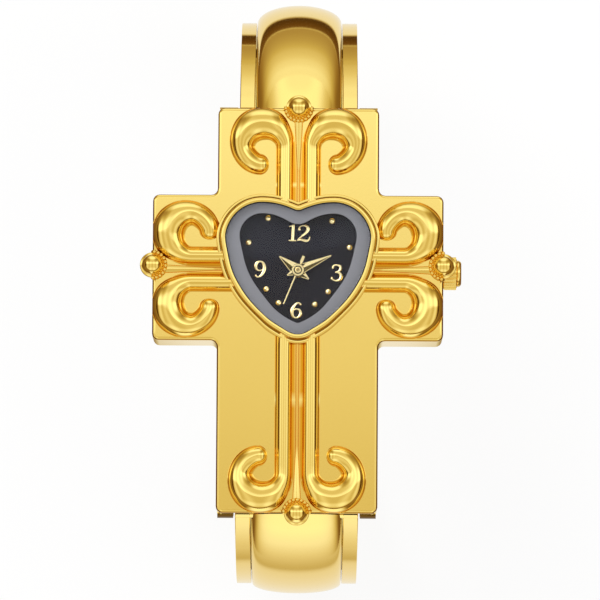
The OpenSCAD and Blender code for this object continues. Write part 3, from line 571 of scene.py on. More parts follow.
def plating_and_painted_shade():
    """Slightly uneven plating, plus painted shade: a piece's painted_shade attribute turns hollows and other
    shaded places redder up to 1 and black by 2.
    """
    tree, given, result = new_group(
        "plating_and_painted_shade", "Shader",
        [("Colour", "Color", (1, 1, 1, 1)), ("Hollow Colour", "Color", (1, 1, 1, 1)),
         ("Unevenness", "Float", 0.05)],
        [("Colour", "Color")],
    )
    place = node(tree, "ShaderNodeTexCoord").outputs["Object"]
    cloud = noise(tree, place, 120.0, 2.0)
    level = maths(tree, "MULTIPLY_ADD", maths(tree, "ADD", cloud, -0.5), given["Unevenness"], 1.0)
    painted_shade = node(tree, "ShaderNodeAttribute", attribute_name="painted_shade").outputs["Fac"]
    # painted shade: past 1 the colour dims towards black
    shade_dimming = node(tree, "ShaderNodeMapRange", {0: painted_shade, 1: 1.0, 2: 2.0, 3: 1.0, 4: 0.0}).outputs[0]
    colours = {0: painted_shade, 6: given["Colour"], 7: given["Hollow Colour"]}
    mixed = node(tree, "ShaderNodeMix", colours, data_type="RGBA").outputs[2]
    dimmed = {0: mixed, "Scale": maths(tree, "MULTIPLY", level, shade_dimming)}
    scaled = node(tree, "ShaderNodeVectorMath", dimmed, operation="SCALE")
    tree.links.new(scaled.outputs[0], result["Colour"])
    return tree


def reflected_tone():
    """The studio's brightness as the metal shows it: warm where it is dim, cool where it is bright."""
    tree, given, result = new_group(
        "reflected_tone", "Shader", [("Brightness", "Float", 1.0)], [("Colour", "Color")]
    )
    stops = [
        (0, (0, 0, 0)), (0.1, (0.15, 0.07, 0.016)), (0.3, (0.35, 0.225, 0.08)), (0.62, (0.66, 0.56, 0.31)),
        (0.85, (0.88, 0.83, 0.7)), (1.1, (1.08, 1.13, 1.26)), (1.5, (1.5, 1.6, 1.7)),
    ]
    share = maths(tree, "MULTIPLY", given["Brightness"], 1 / TONE_TOP)
    colour = ramp(tree, share, [(place / TONE_TOP, [c / TONE_TOP for c in tint]) for place, tint in stops])
    tree.links.new(colour, result["Colour"])
    return tree


MARKS = polish_marks()
PLATING_AND_SHADE = plating_and_painted_shade()
REFLECTED = reflected_tone()


def bare_tree(owner):
    """A new material's or world's node tree, emptied."""
    owner.use_nodes = True
    owner.node_tree.nodes.clear()
    return owner.node_tree


def show(tree, surface, kind="Material"):
    """Puts a surface's socket on the tree's output."""
    tree.links.new(surface, node(tree, "ShaderNodeOutput" + kind).inputs["Surface"])


def mixed_by_ray(tree, plain, *choices):
    """A shader that gives way to each choice's (share, shader) in turn."""
    for share, shader in choices:
        plain = node(tree, "ShaderNodeMixShader", {0: share, 1: plain, 2: shader}).outputs[0]
    return plain


def ray_kinds(tree):
    """How far a ray is the camera's own or came through glass, and how far it is a reflection."""
    light = node(tree, "ShaderNodeLightPath").outputs
    camera = maths(tree, "MAXIMUM", light["Is Camera Ray"], light["Is Transmission Ray"])
    return camera, light["Is Glossy Ray"]


def material(name, colour, metallic=0.0, roughness=0.4, spread=0.05, hollow_shade=None, uneven=0.05,
             hairlines=EVEN_GRAIN, bump=0.05, **sockets):
    """A Principled material whose colour, roughness and fine relief vary over the piece."""
    made = bpy.data.materials.new(name)
    tree = bare_tree(made)
    # the hollow colour is the painted shade colour that the painted_shade attribute mixes towards
    colours = {"Colour": (*colour, 1), "Hollow Colour": (*(hollow_shade or colour), 1), "Unevenness": uneven}
    tone = node(tree, "ShaderNodeGroup", colours, node_tree=PLATING_AND_SHADE).outputs
    polish = {"Roughness": roughness, "Spread": spread, "Hairlines": hairlines}
    marks = node(tree, "ShaderNodeGroup", polish, node_tree=MARKS).outputs
    relief = {"Height": marks["Height"], "Strength": bump, "Distance": 1e-5}
    inputs = {
        "Metallic": metallic, "Base Color": tone["Colour"], "Roughness": marks["Roughness"],
        "Normal": node(tree, "ShaderNodeBump", relief).outputs["Normal"],
    }
    inputs.update({key.replace("_", " "): value for key, value in sockets.items()})
    show(tree, node(tree, "ShaderNodeBsdfPrincipled", inputs).outputs["BSDF"])
    return made


def crystal_glass():
    """Clear glass that lets the lamps through to the dial; its low index stands for a coat against glare."""
    made = bpy.data.materials.new("mineral_glass")
    tree = bare_tree(made)
    glass = node(
        tree, "ShaderNodeBsdfPrincipled",
        {"Base Color": (0.97, 0.98, 0.985, 1), "Metallic": 0.0, "Roughness": 0.01, "IOR": 1.24,
         "Transmission Weight": 1.0},
    )
    clear = node(tree, "ShaderNodeBsdfTransparent", {"Color": (0.96, 0.97, 0.97, 1)})
    light = node(tree, "ShaderNodeLightPath").outputs
    through = maths(tree, "MAXIMUM", light["Is Shadow Ray"], light["Is Diffuse Ray"])
    show(tree, mixed_by_ray(tree, glass.outputs[0], (through, clear.outputs[0])))
    return made


# The orange hollow colour is painted shade and painted warm interreflection for the fillets and other
# hollows.
GOLD = material(
    "gold_plate", (0.93, 0.69, 0.19), metallic=1.0, roughness=0.075, spread=0.04, hollow_shade=(0.74, 0.34, 0.018),
    uneven=0.03,
)
# The near-black hollow colour is painted shade, for one slope of each faceted hand and rings of the second
# hand's hub.
GILT = material(
    "dial_gilt", (0.9, 0.74, 0.38), metallic=1.0, roughness=0.14, spread=0.05, hollow_shade=(0.09, 0.065, 0.02)
)
DIAL = material(
    "dial_lacquer", (0.0095, 0.0085, 0.0145), roughness=0.3, spread=0.08, uneven=0.2, bump=0.02,
    Specular_IOR_Level=0.08,
)
BORDER = material(
    "border_metallising", (0.225, 0.221, 0.242), roughness=0.42, spread=0.05, uneven=0.06, bump=0.02,
    Specular_IOR_Level=0.3,
)
STEEL = material(
    "satin_steel", (0.62, 0.62, 0.63), metallic=1.0, roughness=0.26, spread=0.12,
    hairlines=(300.0, 9000.0, 9000.0),
)
NICKEL = material(
    "nickel_plate", (0.68, 0.66, 0.62), metallic=1.0, roughness=0.2, spread=0.1,
    hairlines=(9000.0, 500.0, 9000.0),
)
BRASS = material("train_brass", (0.72, 0.52, 0.22), metallic=1.0, roughness=0.24, spread=0.12)
HOLDER = material(
    "moulded_holder", (0.74, 0.73, 0.68), roughness=0.5, spread=0.1, bump=0.15, Subsurface_Weight=0.05
)
SEAL = material("seal_rubber", (0.022, 0.022, 0.024), roughness=0.6, spread=0.15, bump=0.2)
BOARD = material(
    "solder_mask", (0.02, 0.13, 0.055), roughness=0.35, spread=0.12, uneven=0.25, Coat_Weight=0.3
)
WINDING = material(
    "enamelled_winding", (0.48, 0.17, 0.06), metallic=0.6, roughness=0.3, hairlines=(9000.0, 60000.0, 9000.0),
    bump=0.4,
)
MAGNET = material("sintered_magnet", (0.07, 0.07, 0.075), metallic=0.7, roughness=0.45, spread=0.2, bump=0.3)
GLASS = crystal_glass()

SLOT_MATERIALS = {
    "gold": GOLD, "dial_gilt": GILT, "crystal": GLASS, "seal": SEAL, "border": BORDER, "dial": DIAL,
    "steel": STEEL, "plate": NICKEL, "holder": HOLDER, "board": BOARD, "coil": WINDING, "magnet": MAGNET,
    "train": BRASS,
}


def dress_cad_nodes():
    """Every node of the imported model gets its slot's material."""
    for part in frame["record"]["subparts"]:
        coat(nodes[part["node"]].data, SLOT_MATERIALS[part["material_slot"]])


# Case parts whose shape stays as it is, but for the room under the face for the bangle's arms


def hinge_groove(side, reach, band_w):
    """Room for the noses of an arm's dome and rails when the arm opens."""
    profile = [(0, 0)] + arc((0, 0), GROOVE_R, -5, 93, 24)
    half = band_w / 2 + EAR_GAP
    hinge_y = side * (reach - HINGE_INSET)
    rings = [[(x, hinge_y + side * y, HINGE_Z + z) for y, z in profile] for x in (-half, half)]
    return make("hinge_groove", loft(rings), GOLD)


def make_case():
    """The case, with a near-black painted shadow on its lower ears and a painted dark line on its sloping top
    edges, and its steel parts.
    """
    ear_shade, edge_shade = 1.85, 1.45
    grooves = [hinge_groove(side, reach, band_w) for _, side, reach, band_w, _ in ARMS]
    case = polished("case_body", "case", "gold", 0.06, grooves)
    shade_values = []
    # Painted shadow: near black on the lower ears, a dark line on the sloping top edges.
    for face in case.data.polygons:
        x, y, z = face.center / MM
        edge = 0.15 < face.normal.z < 0.68 and z > FACE - 0.4
        ear = abs(x) > EAR_X and z < HINGE_Z + 1.25 and y < -LOWER_REACH - 0.02
        shade_values.append(ear_shade if ear else edge_shade if edge else 0.0)
    paint_shade(case, "FACE", shade_values)
    for name, bevel in (("case_back", 0.08), ("back_screws", 0.03), ("hinge_pins", 0.05)):
        polished(name, "case", "steel", bevel)


# Scrolls


def tube_section(width, height, skirt_low, skirt_high):
    """A tube's outline with a tight hollow fillet at each foot: (across, up, painted shade), the fillets
    carrying painted warm shade.
    """
    half = width / 2 - FOOT_INSET
    lean = math.radians(FOOT_LEAN_DEG)
    start = (half * math.cos(lean), height * math.sin(lean))
    foot = half + FOOT_OUT

    def fillet(skirt):
        made = []
        # painted warm shade along each fillet, strongest at its middle
        for i, hollow_shade in enumerate((0.1, 0.6, 1, 1, 1, 0.8, 0.3)):
            t = i / 6
            x = (1 - t) ** 2 * start[0] + 2 * t * (1 - t) * foot + t**2 * (foot + skirt)
            made.append((x, (1 - t) ** 2 * start[1], hollow_shade))
        return made

    low = [(-x, z, h) for x, z, h in fillet(skirt_low)]
    over = [math.radians(lerp(FOOT_LEAN_DEG, 180 - FOOT_LEAN_DEG, i / 20)) for i in range(1, 20)]
    top = [(half * math.cos(b), height * math.sin(b), 0) for b in over]
    return fillet(skirt_high)[::-1] + top + low


def spike_half(e):
    """Half the width of the flat spike that runs from the stud between the tubes."""
    return lerp(0.42, 0.13, min(1, max(0, e - 1.3) / 5.2))


def scroll_rings(length):
    """Rings of one tube and curl in the limb's frame: x across the limb, y from its end inwards."""
    radius = EYE_V - TUBE_V
    foot_v = TUBE_V - TUBE_W / 2 + FOOT_INSET - FOOT_OUT
    skirt, curl_low, curl_high, narrowing_deg = 0.2, 0.14, 0.36, 170
    rings = []

    def add_ring(centre, across, width, height, low, high, share=1.0):
        rings.append([
            (centre[0] + across[0] * s * share, centre[1] + across[1] * s * share, z * share, hollow_shade)
            for s, z, hollow_shade in tube_section(width, height, low, high)
        ])

    steps = 16
    for i in range(steps):
        e = lerp(length, EYE_E, i / steps)
        add_ring((TUBE_V, e), (1, 0), TUBE_W, TUBE_H, foot_v - spike_half(e) - SEAM, skirt)
    steps = 72
    for i in range(steps + 1):
        angle = CURL_END * i / steps
        r, wider, taller = [smooth_lookup(CURL, angle, column) for column in (1, 2, 3)]
        width = lerp(TUBE_W, SWELL_W, wider)
        height = lerp(TUBE_H, SWELL_H, taller)
        across = (math.cos(math.radians(angle)), math.sin(math.radians(angle)))
        middle = (EYE_V - radius * r * across[0], EYE_E - radius * r * across[1])
        low = lerp(foot_v - spike_half(EYE_E) - SEAM, curl_low, min(1, angle / 40))
        if angle < narrowing_deg:
            high = lerp(skirt, curl_high, min(1, angle / 60))
        else:
            high = lerp(curl_high, skirt, (angle - narrowing_deg) / (CURL_END - narrowing_deg))
        add_ring(middle, across, width, height, low, high)
    for turn in range(9, 90, 9):
        b = math.radians(turn)
        reach = (width / 2 - 0.05) * math.sin(b)
        centre = (middle[0] + across[1] * reach, middle[1] - across[0] * reach)
        add_ring(centre, across, width, height, low, high, math.cos(b))
    return rings


def scroll_pair(name, place, turn_deg):
    """Both tubes of a limb with the spike between them, flush with the limb's end and run under the bezel."""
    turn = Matrix.Rotation(math.radians(turn_deg), 4, "Z")
    inside = turn.inverted() @ Matrix.Translation((-place[0], -place[1], 0))
    rim = [inside @ Vector(p) for p in heart_at(BEZEL_W - BEZEL_LAP, 0, 2)]

    def rim_end(v):
        """Where the bezel's rim crosses the line at v across the limb, on the limb's side."""
        return min(
            lerp(p.y, q.y, (v - p.x) / (q.x - p.x)) for p, q in zip(rim, rim[1:] + rim[:1])
            if (p.x - v) * (q.x - v) <= 0 and abs(q.x - p.x) > 1e-9
        )

    shapes, shade_table = [], []
    for side in (1, -1):
        reach = TUBE_V + TUBE_W / 2 + 0.2
        length = min(rim_end(side * lerp(0.1, reach, i / 12)) for i in range(13)) - 0.25
        rings = []
        for j, source in enumerate(scroll_rings(length)):
            ring = [(side * x, max(y if j else rim_end(side * x), SEAM), z) for x, y, z, _ in source]
            shade_table += [hollow_shade for *_, hollow_shade in source] + [0, 0]
            ring += [(*ring[k][:2], -CASE_SINK) for k in (-1, 0)]
            rings.append(ring)
        shapes.append(loft(rings))
    end = min(rim_end(-0.15), rim_end(0.15))
    spike = []
    steps = 20
    for i in range(steps + 1):
        e = lerp(1.0, end, i / steps)
        half = spike_half(e)
        top = lerp(0.16, 0.12, i / steps)
        flank = [(half - 0.05, top), (half, top * 0.75), (half + 0.05, 0), (half + 0.05, -CASE_SINK)]
        spike.append([(-x, e, z) for x, z in flank[::-1]] + [(x, e, z) for x, z in flank])
        # painted shade on the spike's flanks, darkest down at its foot
        shade_values = [0, 0.4, 1, 1] if e < 6.5 else [0.5, 0.8, 1, 1]
        shade_table += shade_values[::-1] + shade_values
    shapes.append(loft(spike))
    shape = moved(together(*shapes), Matrix.Translation((place[0], place[1], FACE)) @ turn)
    obj = make_piece(name + "_cast", shape, "case", "gold", name, smooth_deg=42, merge=1e-5)
    # painted shade from the rings, carried onto the mesh's points
    nearest = {tuple(round(c, 4) for c in p): h for p, h in zip(shape[0], shade_table)}
    paint_shade(obj, "POINT", [nearest.get(tuple(round(c / MM, 4) for c in v.co), 0.0) for v in obj.data.vertices])


def make_scrolls():
    scroll_pair("upper_scrolls", (0, UPPER_REACH), 180)
    scroll_pair("lower_scrolls", (0, -LOWER_REACH), 0)
    scroll_pair("left_scrolls", (-SIDE_REACH, AXIS_Y), -90)
    scroll_pair("right_scrolls", (SIDE_REACH, AXIS_Y), 90)


# Studs


def make_studs():
    foot = BEAD_RISE - BEAD_FOOT
    skirt_top = BEAD_RISE - SKIRT_DROP
    neck = math.degrees(math.asin(-0.12 / BEAD_R))
    profile = (
        [(0, foot), (SKIRT_R, foot)]
        + arc((SKIRT_R - 0.1, skirt_top - 0.1), 0.1, 0, 90, 4)
        + arc((0, BEAD_RISE), BEAD_R, neck, 90, 24)
    )
    stud = lathe(profile, 72)
    shapes = [moved(stud, Matrix.Translation((*place, FACE))) for place, _ in STUDS]
    make_piece("studs_turned", together(*shapes), "case", "gold", "bead_studs", smooth_deg=40)


def collar_tree():
    """Twisted rope along the inner side of each stud: a row of short slanting strands."""
    tree, given, result = new_pattern("rope_collar", [
        ("Radius", "Float", COLLAR_R * MM), ("Strands", "Int", 12), ("Half Sweep", "Float", COLLAR_SWEEP),
        ("Strand Size", "Vector", (0.3 * MM, 0.3 * MM, 0.7 * MM)), ("Slant", "Float", 0.7),
    ])
    begin = maths(tree, "SUBTRACT", math.radians(90), given["Half Sweep"])
    sweep = maths(tree, "MULTIPLY", given["Half Sweep"], 2.0)
    bend = node(
        tree, "GeometryNodeCurveArc",
        {"Resolution": 48, "Radius": given["Radius"], "Start Angle": begin, "Sweep Angle": sweep},
    )
    along = node(
        tree, "GeometryNodeCurveToPoints", {"Curve": bend.outputs["Curve"], "Count": given["Strands"]},
        mode="COUNT",
    ).outputs
    ball = node(tree, "GeometryNodeMeshUVSphere", {"Segments": 14, "Rings": 10, "Radius": 0.5})
    strands = instances(
        tree, along["Points"], ball.outputs["Mesh"], Rotation=along["Rotation"], Scale=given["Strand Size"]
    )
    slant = xyz(tree, given["Slant"], 0.0, 0.0)
    leaned = node(
        tree, "GeometryNodeRotateInstances",
        {"Instances": strands, "Rotation": slant, "Local Space": True},
    )
    turn = node(tree, "GeometryNodeInputNamedAttribute", {"Name": "turn"}, data_type="FLOAT")
    facing = xyz(tree, 0.0, 0.0, turn.outputs["Attribute"])
    collars = instances(tree, given["Geometry"], leaned.outputs["Instances"], Rotation=facing)
    return hand_out(tree, given, result, collars)


def make_collars():
    """Slanting strands, lighter, on a bed of finer ones; the bed gets strong painted shade, the strands a
    little painted warm shade.
    """
    tree = collar_tree()
    turns = [math.radians(turn) for _, turn in STUDS]
    # Each row: name, painted shade (strong on the bed, slight on the strands), lift, count, strand size and
    # slant.
    for name, tone, up, count, size, slant in (
        ("rope_collars", 0.2, 0.3, 11, (0.46, 0.7, 0.34), 0.75),
        ("collar_beds", 1.5, 0.12, 40, (0.4, 0.24, 0.3), 0.0),
    ):
        values = {
            "Radius": COLLAR_R * MM, "Half Sweep": COLLAR_SWEEP, "Strands": count, "Slant": slant,
            "Strand Size": Vector(size) * MM, "Material": GOLD,
        }
        collar = grow(name, tree, [(*place, FACE + up) for place, _ in STUDS], values, turns)
        paint_shade(collar, "POINT", [tone] * len(collar.data.vertices))
        finish_piece(collar, "case", "gold")


# Heart bezel, glass, border and dial


def make_bezel():
    """A flange, a groove and a rounded ridge, with painted shade at the foot, in the groove and on the inner
    wall; each row gives distance out, height and how much painted shade.
    """
    wall = SEAT_W + GASKET_W + SEAT_GAP
    foot = 0.95
    flange = BEZEL_W - FLANGE_W
    ridge = flange - GROOVE_W
    profile = (
        [(foot, 0, 0), (BEZEL_W, 0, 1.5), (BEZEL_W, 0.3, 1.5)]
        + [(d, z, 0) for d, z in arc((BEZEL_W - 0.13, FLANGE_H - 0.17), 0.13, 5, 90, 6)]
        + [(flange + 0.03, FLANGE_H - 0.05, 0), (flange, FLANGE_H - 0.11, 1.2),
           (flange - 0.03, FLANGE_H - 0.2, 1.5), (ridge + 0.02, FLANGE_H - 0.2, 1.5),
           (ridge, FLANGE_H + 0.2, 1.2)]
        + [(d, z, 0) for d, z in arc((ridge - 0.2, BEZEL_H - 0.22), 0.2, 0, 90, 9)]
        + [(d, z, 0) for d, z in arc((wall + 0.05, BEZEL_H - 0.07), 0.05, 90, 180, 4)]
        + [(wall, BEZEL_H - 0.12, 1.9), (wall, LEDGE_H, 1.9), (foot, LEDGE_H, 0)]
    )
    rings = [heart_at(d, FACE + z, 4) for d, z, _ in profile]
    skin = loft(rings, joined=True)
    bezel = make_piece("heart_bezel_turned", skin, "case", "gold", "heart_bezel", smooth_deg=38)
    # painted shade by height
    shade_table = {round(z + FACE, 3): h for _, z, h in profile if h}
    paint_shade(bezel, "POINT", [float(shade_table.get(round(v.co.z / MM, 3), 0)) for v in bezel.data.vertices])


def heart_slab(name, outlines, slot, replaced, ring=False):
    """A heart-shaped plate or ring from (distance out, height) pairs."""
    shape = loft([heart_at(d, FACE + z, 4) for d, z in outlines], joined=ring)
    make_piece(name, shape, "case", slot, replaced, smooth_deg=30)


def make_dial_parts():
    top = GLASS_H + GLASS_T
    edge = SEAT_W - GLASS_CHAMFER
    heart_slab(
        "crystal_ground",
        [(SEAT_W, GLASS_H), (SEAT_W, top - GLASS_CHAMFER), (SEAT_W - 0.02, top - GLASS_CHAMFER + 0.03),
         (edge, top - 0.015), (edge - 0.03, top)],
        "crystal", "crystal",
    )
    rim = GLASS_H - 0.01
    heart_slab(
        "dial_border",
        [(0, LEDGE_H), (BORDER_W, LEDGE_H), (BORDER_W, rim), (0.03, rim), (0, rim - 0.03)],
        "border", "dial_ring", ring=True,
    )
    inner, outer, high = SEAT_W + 0.005, SEAT_W + GASKET_W, top - 0.15
    heart_slab(
        "gasket_moulded", [(inner, GLASS_H), (outer, GLASS_H), (outer, high), (inner, high)], "seal",
        "crystal_gasket", ring=True,
    )
    hole_r = SECOND_R + TUBE_GAP + MINUTE_WALL + TUBE_GAP + HOUR_WALL + DIAL_GAP
    turns = [math.atan2(y, x) for x, y in heart(DIAL_EDGE, 4, True)]
    hole = [(hole_r * math.cos(t), AXIS_Y + hole_r * math.sin(t)) for t in turns]
    levels = (DIAL_TOP - DIAL_T, DIAL_TOP)
    rings = [heart_at(DIAL_EDGE, z, 4, True) for z in levels]
    rings += [[(x, y, z) for x, y in hole] for z in reversed(levels)]
    make_piece("dial_plate", loft(rings, joined=True), "case", "dial", "dial")


# Numerals, dots and hands


def between(a, b, c, d, t):
    """A smooth curve's value from b to c, with a before and d after them."""
    bend, twist = 2 * a - 5 * b + 4 * c - d, 3 * b - a - 3 * c + d
    return 0.5 * (2 * b + (c - a) * t + bend * t**2 + twist * t**3)


def stroke(path, top):
    """A raised stroke with softened edges: path gives (x, y, width)."""
    fine = []
    for i in range(len(path) - 1):
        corners = path[max(i - 1, 0)], path[i], path[i + 1], path[min(i + 2, len(path) - 1)]
        for k in range(6):
            fine.append(tuple(between(*four, k / 6) for four in zip(*corners)))
    fine.append(path[-1])
    rings = []
    for i, (x, y, width) in enumerate(fine):
        before, after = fine[max(i - 1, 0)], fine[min(i + 1, len(fine) - 1)]
        ahead = Vector((after[0] - before[0], after[1] - before[1])).normalized()
        side = Vector((-ahead.y, ahead.x)) * width / 2
        rings.append([
            (x + side.x * s, y + side.y * s, top * up)
            for s, up in ((1, 0), (0.97, 0.6), (0.75, 0.92), (0, 1), (-0.75, 0.92), (-0.97, 0.6), (-1, 0))
        ])
    return loft(rings)


def knob(x, y, width, top):
    """A stroke's ball end."""
    profile = [(0, 0), (width / 2, 0)] + arc((0, 0), width / 2, 20, 90, 5)
    return lathe([(r, z * top / (width / 2)) for r, z in profile], 16, lambda p: (x + p[0], y + p[1], p[2]))


# Each digit is one unit high about its middle: strokes of (x, y, width), then ball ends of (x, y, width)
DIGITS = {
    "1": (
        [
            [(0.03, 0.47, 0.16), (0.03, 0.2, 0.19), (0.03, -0.44, 0.19)],
            [(0.06, 0.46, 0.1), (-0.08, 0.4, 0.12), (-0.21, 0.35, 0.05)],
            [(-0.19, -0.46, 0.07), (0.03, -0.45, 0.11), (0.25, -0.46, 0.07)],
        ],
        [],
    ),
    "2": (
        [
            [(-0.29, 0.24, 0.12), (-0.24, 0.38, 0.1), (-0.03, 0.46, 0.11), (0.19, 0.39, 0.18),
             (0.23, 0.22, 0.22), (0.1, 0.02, 0.17), (-0.13, -0.2, 0.11), (-0.33, -0.4, 0.08)],
            [(-0.36, -0.44, 0.08), (-0.14, -0.38, 0.15), (0.12, -0.43, 0.18), (0.3, -0.38, 0.12),
             (0.37, -0.2, 0.06)],
        ],
        [(-0.27, 0.22, 0.19)],
    ),
    "3": (
        [
            [(-0.25, 0.32, 0.1), (-0.16, 0.43, 0.09), (0.03, 0.46, 0.11), (0.2, 0.37, 0.18), (0.2, 0.2, 0.18),
             (0.06, 0.07, 0.11), (-0.08, 0.03, 0.08)],
            [(-0.05, 0.04, 0.08), (0.14, 0.0, 0.14), (0.27, -0.15, 0.22), (0.22, -0.36, 0.19),
             (0.02, -0.46, 0.11), (-0.18, -0.42, 0.09), (-0.28, -0.33, 0.09)],
        ],
        [(-0.24, 0.3, 0.17), (-0.27, -0.33, 0.19)],
    ),
    "6": (
        [
            [(0.23, 0.38, 0.09), (0.13, 0.45, 0.09), (-0.05, 0.37, 0.14), (-0.22, 0.12, 0.2),
             (-0.26, -0.14, 0.22), (-0.17, -0.38, 0.16), (0.0, -0.46, 0.1), (0.18, -0.38, 0.17),
             (0.26, -0.19, 0.21), (0.18, 0.01, 0.15), (0.02, 0.07, 0.09), (-0.14, 0.02, 0.08),
             (-0.2, -0.06, 0.06)],
        ],
        [(0.22, 0.37, 0.16)],
    ),
}


def digit(name, size, top):
    strokes, knobs = DIGITS[name]
    shapes = [stroke([(x * size, y * size, w * size) for x, y, w in path], top) for path in strokes]
    shapes += [knob(x * size, y * size, w * size, top) for x, y, w in knobs]
    return together(*shapes)


def dial_point(radius, clock_deg):
    a = math.radians(clock_deg + DIAL_TURN)
    return radius * math.sin(a), AXIS_Y + radius * math.cos(a), DIAL_TOP


def make_numerals():
    """12, 3, 6 and 9, the last of them a 6 turned over."""
    shapes = []
    for name, clock, further, across, spin in NUMERALS:
        place = (
            Matrix.Translation(dial_point(NUMERAL_RING + further, clock))
            @ Matrix.Rotation(math.radians(-DIAL_TURN), 4, "Z") @ Matrix.Translation((across, 0, 0))
            @ Matrix.Rotation(math.radians(spin), 4, "Z")
        )
        shapes.append(moved(digit(name, NUMERAL_H, NUMERAL_T), place))
    make_piece("numerals_applied", together(*shapes), "case", "dial_gilt", "dial_numerals", smooth_deg=50)


def dot_tree():
    """Low domes on the dial's points."""
    tree, given, result = new_pattern(
        "dial_dots", [("Diameter", "Float", DOT_D * MM), ("Height", "Float", DOT_H * MM)]
    )
    ball = node(tree, "GeometryNodeMeshUVSphere", {"Segments": 32, "Rings": 16, "Radius": 0.5})
    deep = maths(tree, "MULTIPLY", given["Height"], 2.0)
    size = xyz(tree, given["Diameter"], given["Diameter"], deep)
    domes = instances(tree, given["Geometry"], ball.outputs["Mesh"], Scale=size)
    return hand_out(tree, given, result, domes)


def make_dots():
    values = {"Diameter": DOT_D * MM, "Height": DOT_H * MM, "Material": GILT}
    dots = grow("dots_applied", dot_tree(), [dial_point(r, clock) for r, clock in DOTS], values)
    finish_piece(dots, "case", "dial_gilt", "dial_dots")


def faceted_hand(length, half_width, tail):
    """A dauphine hand along +Y: a flat plate with two slopes on it that meet in a ridge."""
    widest, root_y, blunt, lip = 0.4, -0.1, 0.06, 0.055

    def outline(inset):
        tip, wide = max(blunt - inset * 0.7, 0.01), half_width - inset
        end, root = length - inset * 2, inset * 2 - tail
        right = [(tip, end), (wide, widest), (wide * 0.92, root_y), (tip, root)]
        return right + [(-x, y) for x, y in reversed(right)], end, root

    edge, _, _ = outline(0)
    plate = loft([[(x, y, z) for x, y in edge] for z in (0, PLATE_T)])
    edge, end, root = outline(lip)
    low_ridge = PLATE_T + 0.03
    spine = [(0, end, low_ridge), (0, widest, RIDGE_T), (0, root_y, RIDGE_T), (0, root, low_ridge)]
    faces = [tuple(reversed(range(8))), (0, 7, 8), (3, 11, 4)]
    for k in range(3):
        faces += [(k, 8 + k, 9 + k, k + 1), (7 - k, 6 - k, 9 + k, 8 + k)]
    return together(plate, ([(x, y, PLATE_T) for x, y in edge] + spine, faces))


def hub(radius, bottom, top):
    """A disc with a rounded edge and a turned groove."""
    edge = 0.05
    profile = [(0, bottom), (radius, bottom)] + arc((radius - edge, top - edge), edge, 0, 90, 4) + [
        (radius * 0.66, top), (radius * 0.57, top - edge), (radius * 0.48, top), (0, top)]
    return lathe(profile, 48)


def place_hand(kind, style, body, shapes, painted_shade_side=0):
    """Turns a hand to its hour; the slopes on one side get near-black painted shade, a painted dark
    reflection.
    """
    turn = Matrix.Rotation(math.radians(-HAND_DEGREES[kind]), 4, "Z")
    matrix = Matrix.Translation((0, AXIS_Y, DIAL_TOP + HAND_RISE[kind])) @ turn
    shape = moved(together(*shapes), matrix)
    obj = make_piece(f"{kind}_hand_{style}", shape, body, "dial_gilt", kind + "_hand", smooth_deg=25)
    across = turn @ Vector((painted_shade_side, 0, 0))
    shade_values = []
    for face in obj.data.polygons:
        reach = math.hypot(face.center.x, face.center.y - AXIS_Y * MM) / MM
        # painted shade: the slopes on one side near black; on the second hand, rings of painted shade
        if painted_shade_side:
            shade_values.append(1.0 if face.normal.dot(across) > 0.15 and face.normal.z > 0.5 else 0.0)
        else:
            shade_values.append(next((tone for edge, tone in HUB_SHADES if reach < edge), 0.0))
    paint_shade(obj, "FACE", shade_values)


def make_hands():
    disc = hub(HUB_R, 0, 0.2)
    place_hand("hour", "faceted", "hours", [faceted_hand(2.45, 0.6, 1.45), disc], -1)
    place_hand("minute", "faceted", "minutes", [faceted_hand(3.85, 0.52, 1.25), disc], 1)
    needle = stroke([(0, -1.6, 0.33), (0, -0.9, 0.33), (0, -0.7, 0.17), (0, 1.6, 0.17), (0, 4.0, 0.14)], 0.1)
    discs = [hub(0.68, 0, 0.16), hub(0.3, 0.1, 0.2), hub(SECOND_R, 0.1, 0.26)]
    place_hand("second", "drawn", "seconds", [needle, *discs])


# Crown


def along_x(p):
    """Turns a lathe's (across, up, along) so that along is +X, on the stem's axis."""
    return CROWN_X + p[2], AXIS_Y + p[0], FACE - STEM_DEPTH + p[1]


def flute_tree():
    """Rounded flutes round a barrel, joined to the barrel that comes in."""
    tree, given, result = new_pattern("crown_flutes", [
        ("Flutes", "Int", FLUTES), ("Radius", "Float", CROWN_R * MM), ("Flute Radius", "Float", FLUTE_R * MM),
        ("Length", "Float", CROWN_LEN * MM), ("Place", "Vector", (0, 0, 0)),
    ])
    circle = node(
        tree, "GeometryNodeMeshCircle", {"Vertices": given["Flutes"], "Radius": given["Radius"]},
        fill_type="NONE",
    )
    rod = node(
        tree, "GeometryNodeMeshCylinder",
        {"Vertices": 16, "Side Segments": 1, "Radius": given["Flute Radius"], "Depth": given["Length"]},
    )
    rods = instances(tree, circle.outputs["Mesh"], rod.outputs["Mesh"])
    joined = node(tree, "GeometryNodeJoinGeometry")
    tree.links.new(laid_across(tree, rods, given["Place"]), joined.inputs["Geometry"])
    tree.links.new(given["Geometry"], joined.inputs["Geometry"])
    return hand_out(tree, given, result, joined.outputs["Geometry"])


